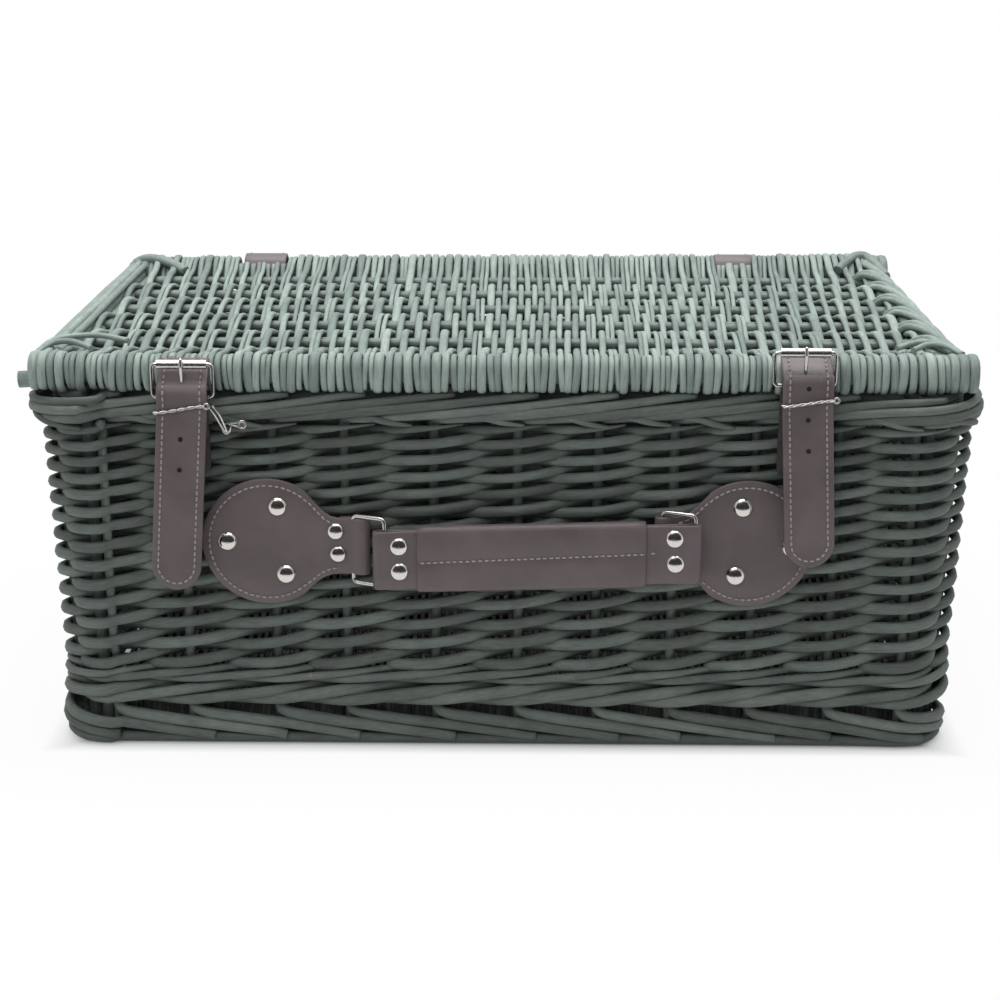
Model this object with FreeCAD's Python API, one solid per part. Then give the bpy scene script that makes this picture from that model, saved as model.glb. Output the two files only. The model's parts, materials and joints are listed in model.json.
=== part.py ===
"""Woven willow hamper with a hinged lid, two buckled closure straps and a carrying handle.

Frame: X along the long side, front face towards -Y, +Z up, origin on the ground under the
middle of the basket.  All lengths are in millimetres.  The model shows the lid shut, both
straps buckled and the handle lying against the front.
"""
import FreeCAD
import Part
import math
import os

# ---------------------------------------------------------------- driving dimensions
# basket walls
BASKET_LENGTH = 450.0
BASKET_DEPTH = 292.0
STAKE_D = 4.8
WEAVER_D = 4.4
CORNER_RADIUS = 20.6        # of the stake line
FRONT_RUNS = 10             # spaces between the stakes of a long side
END_RUNS = 6                # spaces between the stakes of an end
COURSE_COUNT = 22
COURSE_TAPER = 1.5          # lowest course over highest course
WALE_COUNT = 3
WEAVE_HEIGHT = 127.2
WALE_HEIGHT = 20.2
WEAVE_CLEAR = 0.1           # between a rod and what it passes
SEAT_CLEAR = 0.3            # between parts that rest on each other
SAMPLES = 4                 # points in each bend of a woven rod

# borders
BORDER_ROD_D = 7.0
BORDER_OUT = 5.9            # outer rods, from the stake line
BORDER_IN = 4.9             # inner rods, from the stake line
FOOT_ROD_D = 6.8
FOOT_OUT = 3.4
FOOT_FLAT = 0.3             # worn off under the lowest rod

# base and lid mats
MAT_STICKS = 6
MAT_WEAVER_D = 4.2
MAT_WEAVER_WIDTH = 4.6
MAT_PITCH = 5.25
WRAP_END = 110.0            # degrees that a weaver runs on past the far side of a rail
BASE_RAIL_D = 8.2
BASE_STICK_D = 6.0
BASE_INSET = 8.5            # base rails, from the stake line
BASE_WIDTH_CLEAR = 2.7
BASE_STICK_INSET = 37.3     # first and last stick, from the rails
LID_OVERHANG_X = 3.0        # beyond the walls at each end
LID_OVERHANG_Y = 4.0        # beyond the walls at the front and the back
LID_STICK_INSET = 25.2      # first and last stick, from the rails
LID_RAIL_D = 12.0
LID_RAIL_OVERHANG = 1.5
LID_STICK_D = 6.4
EDGE_ROD_D = 6.0

# leather and wire
LEATHER = 2.0
STRAP_WIDTH = 25.2
STRAP_REACH = 113.0         # from the roller down to the tip
STRAP_SPLAY = 4.2           # degrees that each hanging end leans outwards
STRAP_BEND = 5.0            # radius where a strap turns down in front of its buckle
STRAP_HOLE_D = 2.2
STRAP_HOLE_PITCH = 15.4
STRAP_HOLES = 3
HINGE_WIDTH = 32.0
HINGE_INSETS = (("left", -1, 77.0), ("right", 1, 84.4))    # side, direction, from that end
HINGE_DROP = 46.9           # lower end of a hinge strap, below the top border
HINGE_RIVET_RISE = 8.0      # of the lower rivet above that end
FIT_CLEAR = 0.06            # radial, of a bar that turns in its loop

# closures: side, direction, distance from that end, heel bar above the border, degrees up the lid
CLOSURE_PLACES = (("left", -1, 70.0, 1.0, 45.0), ("right", 1, 80.5, 7.8, 84.0))
BUCKLE_WIDTH = 29.2         # between the middles of the side wires
BUCKLE_HEIGHT = 16.0
BUCKLE_WIRE_D = 2.0
ROLLER_D = 4.6
ROLLER_LENGTH = 24.0
TONGUE_D = 1.8
TONGUE_SLOT = 4.4
CHAPE_WIDTH = 22.0
CHAPE_LEATHER = 1.6
CHAPE_DROP = 22.9           # its lower end, below the top border
KEEPER_WIRE_D = 1.2
KEEPER_DROP = 7.5           # below the heel bar
KEEPER_SLACK = 0.9
TIE_RUN = 9.0               # sideways reach of the keeper's tie wires
PIN_LENGTH = 13.0

# handle
HANDLE_X = 1.75
HANDLE_DROP = 61.0          # middle of the rings, below the top of the weave
LOOP_SPACING = 152.5        # between the two fixed ring bars, and between the handle's two
PLATE_RADIUS = 32.5
PLATE_OFFSET = 42.6         # plate centre beyond its ring bar
PLATE_RISE = 1.2            # plate centre above the ring centre
NECK_HALF = 13.4
PLATE_LEATHER = 2.2
NECK_RIVET_SPREAD = 5.6
RING_REACH = 17.5
RING_HEIGHT = 32.0
RING_WIRE_D = 2.2
RING_REST = 23.0            # degrees that the rings stand off the wall
GRIP_LENGTH = 113.0
GRIP_SHIFT = -3.0           # middle of the grip from the middle of the handle
GRIP_HEIGHT = 35.0
GRIP_THICK = 7.0
SLEEVE = 1.6

# rivets: head radius, head height, shank radius
BIG_RIVET = (4.5, 2.4, 1.6)
SMALL_RIVET = (4.2, 1.7, 1.3)
HINGE_RIVET = (4.6, 2.9, 1.3)
HANDLE_RIVET = (4.4, 1.6, 1.4)
TACK = (1.9, 0.7, 0.8)
HOLE_CLEAR = 0.1
WASHER = 1.0

# ---------------------------------------------------------------- derived dimensions
WAVE = STAKE_D / 2 + WEAVE_CLEAR + WEAVER_D / 2
HALF_WALL = WAVE + WEAVER_D / 2
LINE_X = BASKET_LENGTH / 2 - HALF_WALL
LINE_Y = BASKET_DEPTH / 2 - HALF_WALL
WALL_FRONT = -BASKET_DEPTH / 2
STAKE_X = LINE_X - CORNER_RADIUS
STAKE_Y = LINE_Y - CORNER_RADIUS

FOOT_TOP = 2 * FOOT_ROD_D - FOOT_FLAT
BASE_WRAP = BASE_RAIL_D / 2 + WEAVE_CLEAR + MAT_WEAVER_D
BASE_RAIL_Y = LINE_Y - BASE_INSET
WALE_Z = FOOT_TOP + 7.9
BASE_Z = WALE_Z - WEAVE_CLEAR - BASE_WRAP
WEAVE_Z = WALE_Z + WALE_HEIGHT
WEAVE_TOP = WEAVE_Z + WEAVE_HEIGHT
BORDER_Z = WEAVE_TOP + SEAT_CLEAR
BORDER_TOP = BORDER_Z + 2 * BORDER_ROD_D + WEAVE_CLEAR
BORDER_FRONT = -(LINE_Y + BORDER_OUT + BORDER_ROD_D / 2)

LID_LENGTH = BASKET_LENGTH + 2 * LID_OVERHANG_X
LID_DEPTH = BASKET_DEPTH + 2 * LID_OVERHANG_Y
LID_WRAP = LID_RAIL_D / 2 + WEAVE_CLEAR + MAT_WEAVER_D
LID_Z = BORDER_TOP + SEAT_CLEAR + LID_WRAP
LID_RAIL_Y = LID_DEPTH / 2 - LID_WRAP
LID_UNDER = LID_Z - LID_WRAP
HINGES = [(name, side * (BASKET_LENGTH / 2 - inset)) for name, side, inset in HINGE_INSETS]
CLOSURES = [(name, side * (BASKET_LENGTH / 2 - inset), BORDER_TOP + rise, end_angle)
            for name, side, inset, rise, end_angle in CLOSURE_PLACES]
HINGE_TAIL = BORDER_Z - HINGE_DROP
CHAPE_TAIL = BORDER_Z - CHAPE_DROP

PAD_OUT = LID_WRAP + SEAT_CLEAR + LEATHER            # strap's outer face, from the rail
FRAME_Y = -(LID_RAIL_Y + PAD_OUT + SEAT_CLEAR + ROLLER_D / 2)
HEEL_LOOP = BUCKLE_WIRE_D / 2 + FIT_CLEAR + CHAPE_LEATHER
STRAP_Y = FRAME_Y - HEEL_LOOP - SEAT_CLEAR - LEATHER / 2
TAIL_TURN = LID_UNDER - 3.0                          # height where the tail bends
CHAPE_Y = BORDER_FRONT - SEAT_CLEAR - CHAPE_LEATHER
KEEPER_FRONT = STRAP_Y - LEATHER / 2 - WEAVE_CLEAR - KEEPER_WIRE_D / 2
KEEPER_BACK = CHAPE_Y - CHAPE_LEATHER - WEAVE_CLEAR / 2 - KEEPER_WIRE_D / 2

EYE = RING_WIRE_D / 2 + FIT_CLEAR + PLATE_LEATHER    # outer radius of a ring loop
LOOP_Y = WALL_FRONT - SEAT_CLEAR - EYE
SWING = math.radians(RING_REST)
HANDLE_Z = WEAVE_TOP - HANDLE_DROP
HANDLE_BAR_Y = LOOP_Y - RING_REACH * math.sin(SWING)
HANDLE_BAR_SHIFT = RING_REACH * math.cos(SWING)
HANDLE_MIDDLE = HANDLE_X + HANDLE_BAR_SHIFT
PLATE_Z = HANDLE_Z + PLATE_RISE
TAB_HALF = NECK_HALF
TAB_TAPER = 1.6 * EYE                                # from a fold's middle to the flat layers


# ---------------------------------------------------------------- general helpers
def vec(x, y, z=0.0):
    return FreeCAD.Vector(x, y, z)


def save(name, solids):
    """Write one node; a node of several loose solids becomes a compound."""
    solids = solids if isinstance(solids, list) else [solids]
    shape = solids[0] if len(solids) == 1 else Part.makeCompound(solids)
    shape.exportStep("parts/" + name + ".step")
    print(name, len(shape.Solids), "solids", round(shape.Volume), "mm3", shape.isValid())


def box(x0, x1, y0, y1, z0, z1):
    return Part.makeBox(x1 - x0, y1 - y0, z1 - z0, vec(x0, y0, z0))


def cylinder(start, end, radius):
    axis = end - start
    return Part.makeCylinder(radius, axis.Length, start, axis)


def mirrored(shape, about_x):
    """The shape reflected in the plane X = about_x."""
    return shape.mirror(vec(about_x, 0, 0), vec(1, 0, 0))


def spline(points, closed=False):
    curve = Part.BSplineCurve()
    curve.interpolate(Points=points, PeriodicFlag=closed)
    return curve.toShape()


def rounded_edges(points, radii):
    """Straight runs through 3D points of one plane, joined by tangent arcs of the radii."""
    edges = []
    start = points[0]
    for before, corner, after, radius in zip(points, points[1:], points[2:], radii):
        arrive = (corner - before).normalize()
        leave = (after - corner).normalize()
        half_turn = arrive.getAngle(leave) / 2
        setback = radius * math.tan(half_turn)
        inwards = (leave - arrive).normalize()
        centre = corner + inwards * (radius / math.cos(half_turn))
        arc_start = corner - arrive * setback
        arc_end = corner + leave * setback
        if (arc_start - start).Length > 1e-6:
            edges.append(Part.LineSegment(start, arc_start).toShape())
        edges.append(Part.Arc(arc_start, centre - inwards * radius, arc_end).toShape())
        start = arc_end
    if (points[-1] - start).Length > 1e-6:
        edges.append(Part.LineSegment(start, points[-1]).toShape())
    return edges


def bent_rod(points, radii, rod_radius):
    """A round rod along straight runs and tangent arcs."""
    path = Part.Wire(rounded_edges(points, radii))
    direction = points[1] - points[0]
    section = Part.Wire(Part.makeCircle(rod_radius, points[0], direction))
    return path.makePipeShell([section], True, False)


def rod_loop(corners, bend, rod_radius):
    """A closed round rod through four corners, made as two halves that meet face to face."""
    a, b, c, d = corners
    ab = (a + b) * 0.5
    cd = (c + d) * 0.5
    halves = [bent_rod([ab, b, c, cd], [bend, bend], rod_radius),
              bent_rod([cd, d, a, ab], [bend, bend], rod_radius)]
    return halves[0].fuse(halves[1])


def mitred(points, distance, normal):
    """The points moved sideways by distance, kept parallel to each run."""
    headings = [(b - a).normalize() for a, b in zip(points, points[1:])]
    moved = []
    for index, point in enumerate(points):
        before = headings[max(index - 1, 0)]
        after = headings[min(index, len(headings) - 1)]
        side = (normal.cross(before) + normal.cross(after)).normalize()
        stretch = side.dot(normal.cross(before))
        moved.append(point + side * (distance / stretch))
    return moved


def ribbon(points, radii, thickness, normal):
    """The face of a strip of even thickness that follows straight runs and arcs."""
    left = mitred(points, thickness / 2, normal)
    right = mitred(points, -thickness / 2, normal)
    left_radii = []
    right_radii = []
    for before, corner, after, radius in zip(points, points[1:], points[2:], radii):
        turns_left = normal.dot((corner - before).cross(after - corner)) > 0
        grow = -thickness / 2 if turns_left else thickness / 2
        left_radii.append(radius + grow)
        right_radii.append(radius - grow)
    edges = rounded_edges(left, left_radii)
    edges.append(Part.LineSegment(left[-1], right[-1]).toShape())
    edges += rounded_edges(right[::-1], right_radii[::-1])
    edges.append(Part.LineSegment(right[0], left[0]).toShape())
    return Part.Face(Part.Wire(edges))


def polygon(points):
    return Part.Face(Part.makePolygon(points + [points[0]]))


def rivet(place, direction, sizes, length, washer=0.0):
    """A domed rivet whose head sits at place and looks along direction."""
    head_r, head_h, shank_r = sizes
    arc_r = (head_r ** 2 + head_h ** 2) / (2 * head_h)
    ball = Part.makeSphere(arc_r, vec(0, 0, head_h - arc_r))
    head = ball.common(Part.makeCylinder(2 * head_r, head_h))
    shape = head.fuse(Part.makeCylinder(shank_r, length, vec(0, 0, -length)))
    if washer:
        shape = shape.fuse(Part.makeCylinder(washer, WASHER, vec(0, 0, -length - WASHER)))
    turn = FreeCAD.Rotation(vec(0, 0, 1), direction)
    shape.Placement = FreeCAD.Placement(place, turn)
    return shape


def drill(solids, holes):
    """Cut each hole out of the solids that it passes through."""
    drilled = []
    for solid in solids:
        for hole in holes:
            if solid.BoundBox.intersect(hole.BoundBox):
                solid = solid.cut(hole)
        drilled += solid.Solids
    return drilled


# ---------------------------------------------------------------- woven walls
def straight_run(start, heading, length):
    along = vec(math.cos(heading), math.sin(heading))
    out = vec(math.sin(heading), -math.cos(heading))
    return lambda t, offset: start + along * (length * t) + out * offset


def corner_run(start, heading):
    out = vec(math.sin(heading), -math.cos(heading))
    centre = start - out * CORNER_RADIUS

    def point(t, offset):
        angle = heading + math.pi / 2 * (t - 1)
        return centre + vec(math.cos(angle), math.sin(angle)) * (CORNER_RADIUS + offset)
    return point


def stake_runs():
    """The stake line, anticlockwise from the front left stake, one run per space."""
    runs = []
    sides = ((vec(-STAKE_X, -LINE_Y), FRONT_RUNS, 2 * STAKE_X),
             (vec(LINE_X, -STAKE_Y), END_RUNS, 2 * STAKE_Y),
             (vec(STAKE_X, LINE_Y), FRONT_RUNS, 2 * STAKE_X),
             (vec(-LINE_X, STAKE_Y), END_RUNS, 2 * STAKE_Y))
    for quarter, (start, count, length) in enumerate(sides):
        heading = quarter * math.pi / 2
        along = vec(math.cos(heading), math.sin(heading))
        pitch = length / count
        for index in range(count):
            runs.append(straight_run(start + along * (pitch * index), heading, pitch))
        runs.append(corner_run(start + along * length, heading))
    return runs


RUNS = stake_runs()


def woven_rod(runs, sides, z, height, closed=False):
    """One flattened rod along the runs; sides gives +1 outside or -1 inside each stake."""
    outer = []
    inner = []
    for run, here, there in zip(runs, sides, sides[1:]):
        for step in range(SAMPLES):
            t = step / SAMPLES
            blend = (1 - math.cos(math.pi * t)) / 2
            offset = WAVE * (here + (there - here) * blend)
            outer.append(run(t, offset + WEAVER_D / 2))
            inner.append(run(t, offset - WEAVER_D / 2))
    if closed:
        wires = [Part.Wire(spline(outer, True)), Part.Wire(spline(inner, True))]
        face = Part.makeFace(wires, "Part::FaceMakerBullseye")
    else:
        outer.append(runs[-1](1.0, WAVE * sides[-1] + WEAVER_D / 2))
        inner.append(runs[-1](1.0, WAVE * sides[-1] - WEAVER_D / 2))
        edges = [spline(outer), Part.LineSegment(outer[-1], inner[-1]).toShape(),
                 spline(inner[::-1]), Part.LineSegment(inner[0], outer[0]).toShape()]
        face = Part.Face(Part.Wire(edges))
    rod = face.extrude(vec(0, 0, height - WEAVE_CLEAR))
    rod.translate(vec(0, 0, z))
    return rod


def course_levels():
    """Bottom and height of each course; the rods thin towards the top."""
    weights = [COURSE_TAPER + (1 - COURSE_TAPER) * i / (COURSE_COUNT - 1)
               for i in range(COURSE_COUNT)]
    unit = WEAVE_HEIGHT / sum(weights)
    z = WEAVE_Z
    levels = []
    for weight in weights:
        levels.append((z, weight * unit))
        z += weight * unit
    return levels


def wall_weave(first, count):
    """The courses over count runs from run first; they pass the stakes alternately."""
    indices = [(first + i) % len(RUNS) for i in range(count)]
    runs = [RUNS[i] for i in indices]
    rods = []
    for row, (z, height) in enumerate(course_levels()):
        sides = [1 if (first + i + row) % 2 == 0 else -1 for i in range(count + 1)]
        rods.append(woven_rod(runs, sides, z, height))
    return rods


def ring_sectors():
    """Blocks that divide a ring round the basket into its sides and the halves of its corners."""
    reach = 3 * CORNER_RADIUS
    top = 2 * BORDER_TOP
    sectors = [box(-STAKE_X, STAKE_X, -STAKE_Y - reach, -STAKE_Y, 0, top),
               box(STAKE_X, STAKE_X + reach, -STAKE_Y, STAKE_Y, 0, top),
               box(-STAKE_X, STAKE_X, STAKE_Y, STAKE_Y + reach, 0, top),
               box(-STAKE_X - reach, -STAKE_X, -STAKE_Y, STAKE_Y, 0, top)]
    for side_x in (-1, 1):
        for side_y in (-1, 1):
            centre = vec(side_x * STAKE_X, side_y * STAKE_Y)
            diagonal = centre + vec(side_x, side_y).normalize() * reach
            for edge in (centre + vec(side_x * reach, 0), centre + vec(0, side_y * reach)):
                sectors.append(polygon([centre, edge, diagonal]).extrude(vec(0, 0, top)))
    return sectors


def divided(rings):
    """Each ring as short rods that meet face to face at the corners."""
    sectors = ring_sectors()
    return [piece for ring in rings for sector in sectors for piece in ring.common(sector).Solids]


def upsett_wale():
    """Heavy rows under the weave, each outside two stakes and inside the third."""
    height = WALE_HEIGHT / WALE_COUNT
    rods = []
    for row in range(WALE_COUNT):
        sides = [-1 if (i + row) % 3 == 0 else 1 for i in range(len(RUNS))]
        sides.append(sides[0])
        rods.append(woven_rod(RUNS, sides, WALE_Z + row * height, height, closed=True))
    return divided(rods)


def stakes():
    bottom = FOOT_TOP + WEAVE_CLEAR
    height = WEAVE_TOP - bottom
    return [Part.makeCylinder(STAKE_D / 2, height, run(0, 0) + vec(0, 0, bottom)) for run in RUNS]


def border_ring(offset, z, rod_d):
    """A rod that runs round the basket, offset outwards from the stake line."""
    x = LINE_X + offset
    y = LINE_Y + offset
    corners = [vec(-x, -y, z), vec(x, -y, z), vec(x, y, z), vec(-x, y, z)]
    return rod_loop(corners, CORNER_RADIUS + offset, rod_d / 2)


def top_border():
    low = BORDER_Z + BORDER_ROD_D / 2
    high = low + BORDER_ROD_D + WEAVE_CLEAR
    return divided([border_ring(offset, z, BORDER_ROD_D)
                    for offset in (BORDER_OUT, -BORDER_IN) for z in (low, high)])


def foot_border():
    """Two rods under the basket; the lower one is worn flat where it stands."""
    low = FOOT_ROD_D / 2 - FOOT_FLAT
    ground = box(-BASKET_LENGTH, BASKET_LENGTH, -BASKET_DEPTH, BASKET_DEPTH, -FOOT_ROD_D, 0)
    standing = border_ring(FOOT_OUT, low, FOOT_ROD_D).cut(ground)
    upper = border_ring(FOOT_OUT, low + FOOT_ROD_D, FOOT_ROD_D - 2 * WEAVE_CLEAR)
    return [standing, upper]


# ---------------------------------------------------------------- base and lid mats
def mat_stops(rail_y, rail_d, stick_d, inset):
    """Where the rails and sticks of a mat lie, front to back: (y, radius)."""
    reach = rail_y - inset
    pitch = 2 * reach / (MAT_STICKS - 1)
    inner = [(-reach + pitch * i, stick_d / 2) for i in range(MAT_STICKS)]
    return [(-rail_y, rail_d / 2)] + inner + [(rail_y, rail_d / 2)]


def wrap_points(y, radius, side, facing):
    """Round the outside of a rail, from its far side to where the weaver crosses it."""
    steps = 7
    points = []
    for step in range(steps):
        angle = math.radians(90 - (90 + WRAP_END) * (steps - step) / steps)
        points.append(vec(0, y + facing * radius * math.cos(angle),
                          side * radius * math.sin(angle)))
    return points


def weaver_points(stops, side):
    """Middle line of a weaver that wraps both end stops and weaves between them."""
    gap = WEAVE_CLEAR + MAT_WEAVER_D / 2
    sides = [side * (-1) ** i for i in range(len(stops))]
    points = wrap_points(stops[0][0], stops[0][1] + gap, sides[0], -1)
    spans = zip(stops, stops[1:], sides, sides[1:])
    for (y0, r0), (y1, r1), s0, s1 in spans:
        for step in range(SAMPLES):
            t = step / SAMPLES
            blend = (1 - math.cos(math.pi * t)) / 2
            height = s0 * (r0 + gap) * (1 - blend) + s1 * (r1 + gap) * blend
            points.append(vec(0, y0 + (y1 - y0) * t, height))
    y_last, r_last = stops[-1]
    points.append(vec(0, y_last, sides[-1] * (r_last + gap)))
    return points + wrap_points(y_last, r_last + gap, sides[-1], 1)[::-1]


def shifted(points, distance):
    """The points moved sideways, square to the curve through them."""
    moved = []
    last = len(points) - 1
    for i, point in enumerate(points):
        heading = (points[min(i + 1, last)] - points[max(i - 1, 0)]).normalize()
        moved.append(point + vec(1, 0, 0).cross(heading) * distance)
    return moved


def mat_weaver(x, stops, side, z):
    points = weaver_points(stops, side)
    one = shifted(points, MAT_WEAVER_D / 2)
    other = shifted(points, -MAT_WEAVER_D / 2)
    edges = [spline(one), Part.LineSegment(one[-1], other[-1]).toShape(),
             spline(other[::-1]), Part.LineSegment(other[0], one[0]).toShape()]
    rod = Part.Face(Part.Wire(edges)).extrude(vec(MAT_WEAVER_WIDTH, 0, 0))
    rod.translate(vec(x - MAT_WEAVER_WIDTH / 2, 0, z))
    return rod


def mat_places(half_length):
    """Middles of the weavers, evenly spaced over the mat."""
    count = int(2 * half_length / MAT_PITCH)
    return [(i - (count - 1) / 2) * MAT_PITCH for i in range(count)]


def near(x, places, distance):
    return any(abs(x - place) < distance for place in places)


def base_mat():
    """Rails, sticks and weavers of the base; weavers beside a stake turn back early."""
    stops = mat_stops(BASE_RAIL_Y, BASE_RAIL_D, BASE_STICK_D, BASE_STICK_INSET)
    half = LINE_X - STAKE_D / 2 - BASE_WIDTH_CLEAR
    rail_half = STAKE_X + CORNER_RADIUS / 3
    halves = [rail_half] + [half] * MAT_STICKS + [rail_half]
    sticks = [cylinder(vec(-reach, y, BASE_Z), vec(reach, y, BASE_Z), r)
              for reach, (y, r) in zip(halves, stops)]
    pitch = 2 * STAKE_X / FRONT_RUNS
    stake_places = [-STAKE_X + pitch * i for i in range(FRONT_RUNS + 1)]
    room = (STAKE_D + MAT_WEAVER_WIDTH) / 2 + SEAT_CLEAR
    weavers = []
    for index, x in enumerate(mat_places(half)):
        side = (-1) ** index
        if near(x, stake_places, room) or abs(x) > STAKE_X:
            weavers.append(mat_weaver(x, stops[1:-1], -side, BASE_Z))
        else:
            weavers.append(mat_weaver(x, stops, side, BASE_Z))
    return [sticks[0], sticks[-1]], sticks[1:-1], weavers


def lid_mat():
    """Rails, sticks and weavers of the lid; weavers leave the rear rail bare at a hinge."""
    stops = mat_stops(LID_RAIL_Y, LID_RAIL_D, LID_STICK_D, LID_STICK_INSET)
    rail_half = LID_LENGTH / 2 + LID_RAIL_OVERHANG
    stick_half = LID_LENGTH / 2 - EDGE_ROD_D - SEAT_CLEAR
    sticks = []
    for index, (y, r) in enumerate(stops):
        half = rail_half if index in (0, len(stops) - 1) else stick_half
        sticks.append(cylinder(vec(-half, y, LID_Z), vec(half, y, LID_Z), r))
    room = (HINGE_WIDTH + MAT_WEAVER_WIDTH) / 2 + SEAT_CLEAR
    weavers = []
    for index, x in enumerate(mat_places(stick_half)):
        at_hinge = near(x, [hinge_x for _, hinge_x in HINGES], room)
        reached = stops[:-1] if at_hinge else stops
        weavers.append(mat_weaver(x, reached, (-1) ** index, LID_Z))
    return sticks[0], sticks[-1], sticks[1:-1], weavers


def lid_edge_rods():
    """Two rods one above the other along each end of the lid, between the rails."""
    x = (LID_LENGTH - EDGE_ROD_D) / 2
    reach = LID_RAIL_Y - LID_RAIL_D / 2 - SEAT_CLEAR
    lift = (EDGE_ROD_D + WEAVE_CLEAR) / 2
    return [cylinder(vec(sx * x, -reach, LID_Z + sz * lift), vec(sx * x, reach, LID_Z + sz * lift),
                     EDGE_ROD_D / 2) for sx in (-1, 1) for sz in (-1, 1)]


# ---------------------------------------------------------------- hinge straps
def hinge_strap(x):
    """A strap looped round the lid's rear rail and doubled down the back of the wall."""
    bore = LID_RAIL_D / 2 + FIT_CLEAR
    thick = 2 * LEATHER
    over = -BORDER_FRONT + SEAT_CLEAR + LEATHER
    wall = -WALL_FRONT + WEAVE_CLEAR + LEATHER
    points = [vec(0, LID_RAIL_Y + bore + LEATHER / 2, LID_Z - LEATHER),
              vec(0, over, BORDER_TOP - LEATHER / 2), vec(0, over, BORDER_Z),
              vec(0, wall, BORDER_Z - 3 * LEATHER), vec(0, wall, HINGE_TAIL)]
    tail = ribbon(points, [4.0, 6.0, 6.0], thick, vec(1, 0, 0))
    tail = tail.extrude(vec(HINGE_WIDTH, 0, 0))
    middle = vec(0, LID_RAIL_Y, LID_Z)
    loop = Part.makeCylinder(bore + LEATHER, HINGE_WIDTH, middle, vec(1, 0, 0))
    rail = Part.makeCylinder(bore, HINGE_WIDTH, middle, vec(1, 0, 0))
    strap = loop.fuse(tail).cut(rail).removeSplitter()
    strap.translate(vec(x - HINGE_WIDTH / 2, 0, 0))
    return strap


def hinge_rivet_rows():
    """Places and lengths: one row through the wall, one between the border's rods."""
    wall_face = -WALL_FRONT + WEAVE_CLEAR + 2 * LEATHER
    border_face = -BORDER_FRONT + SEAT_CLEAR + 2 * LEATHER
    border_z = (BORDER_Z + BORDER_TOP) / 2
    wall_places = [vec(x, wall_face, HINGE_TAIL + HINGE_RIVET_RISE) for _, x in HINGES]
    border_places = [vec(x, border_face, border_z) for _, x in HINGES]
    border_back = LINE_Y - BORDER_IN - BORDER_ROD_D / 2
    return ((wall_places, wall_length(2 * LEATHER)),
            (border_places, border_face - border_back + SEAT_CLEAR))


# ---------------------------------------------------------------- closures
def strap_bend(heel_z, end_angle):
    """Middle line of a strap from the lid's edge to where it hangs, in the YZ plane."""
    radius = PAD_OUT - LEATHER / 2
    centre = vec(0, -LID_RAIL_Y, LID_Z)
    hang = vec(0, STRAP_Y, heel_z + HEEL_LOOP + LEATHER / 2)
    forward = centre.y - hang.y
    rise = hang.z - centre.z
    leave = math.atan2(rise, forward) + math.acos(radius / math.hypot(forward, rise))
    end = math.radians(end_angle)
    middle = (leave + end) / 2
    out = radius / math.cos((end - leave) / 2)
    start = centre + vec(0, -radius * math.cos(end), radius * math.sin(end))
    corner = centre + vec(0, -out * math.cos(middle), out * math.sin(middle))
    return [start, corner, hang, vec(0, STRAP_Y, TAIL_TURN + WEAVE_CLEAR)], radius


def tongue_line(heel_z):
    """Bends of a tongue: it leaves the heel bar, then lies over the roller."""
    reach = (ROLLER_D + TONGUE_D) / 2 + 2 * WEAVE_CLEAR
    roller_z = heel_z + BUCKLE_HEIGHT
    return [vec(0, FRAME_Y - 0.2, heel_z + 0.75 * BUCKLE_WIRE_D),
            vec(0, FRAME_Y - reach, roller_z - 0.5),
            vec(0, FRAME_Y - reach + 0.6, roller_z + 2.6)]


def tongue_prong(heel_z, radius):
    base, over, tip = tongue_line(heel_z)
    prong = cylinder(base, over, radius).fuse(cylinder(over, tip, radius))
    return prong.fuse([Part.makeSphere(radius, over), Part.makeSphere(radius, tip)])


def strap_head(x, heel_z, end_angle):
    """The upper part of a closure strap, from the lid's edge through the buckle."""
    points, radius = strap_bend(heel_z, end_angle)
    face = ribbon(points, [radius, STRAP_BEND], LEATHER, vec(1, 0, 0))
    face.translate(vec(-STRAP_WIDTH / 2, 0, 0))
    strap = face.extrude(vec(STRAP_WIDTH, 0, 0))
    strap = strap.cut(tongue_prong(heel_z, TONGUE_D / 2 + 4 * WEAVE_CLEAR))
    strap.translate(vec(x, 0, 0))
    return strap


def strap_tail(x, heel_z):
    """The hanging end of a closure strap, with its round tip and spare holes."""
    roller_z = heel_z + BUCKLE_HEIGHT
    half = STRAP_WIDTH / 2
    tip_z = roller_z - STRAP_REACH
    top = TAIL_TURN - WEAVE_CLEAR
    back = STRAP_Y + LEATHER / 2
    blade = box(-half, half, back - LEATHER, back, tip_z + half, top + half)
    tip = cylinder(vec(0, back - LEATHER, tip_z + half), vec(0, back, tip_z + half), half)
    strap = blade.fuse(tip).removeSplitter()
    for index in range(STRAP_HOLES):
        z = roller_z - 5.0 - STRAP_HOLE_PITCH * (index + 1)
        hole = cylinder(vec(0, back - 2 * LEATHER, z), vec(0, back + LEATHER, z), STRAP_HOLE_D / 2)
        strap = strap.cut(hole)
    strap.rotate(vec(0, 0, top), vec(0, 1, 0), STRAP_SPLAY if x < 0 else -STRAP_SPLAY)
    above = box(-STRAP_WIDTH, STRAP_WIDTH, back - 2 * LEATHER, back + LEATHER, top, top + 2 * half)
    strap = strap.cut(above)
    strap.translate(vec(x, 0, 0))
    return strap


def tack_places(x, end_angle):
    """Two tacks near the upper end of a closure strap, square to the lid's edge."""
    angle = math.radians(end_angle - 9.0)
    out = vec(0, -math.cos(angle), math.sin(angle))
    face = vec(x, -LID_RAIL_Y, LID_Z) + out * (PAD_OUT + WEAVE_CLEAR)
    return [(face + vec(side * STRAP_WIDTH / 4, 0, 0), out) for side in (-1, 1)]


def tack_length():
    """A tack reaches half way through the lid's front rail."""
    return PAD_OUT - LID_RAIL_D / 8


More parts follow.
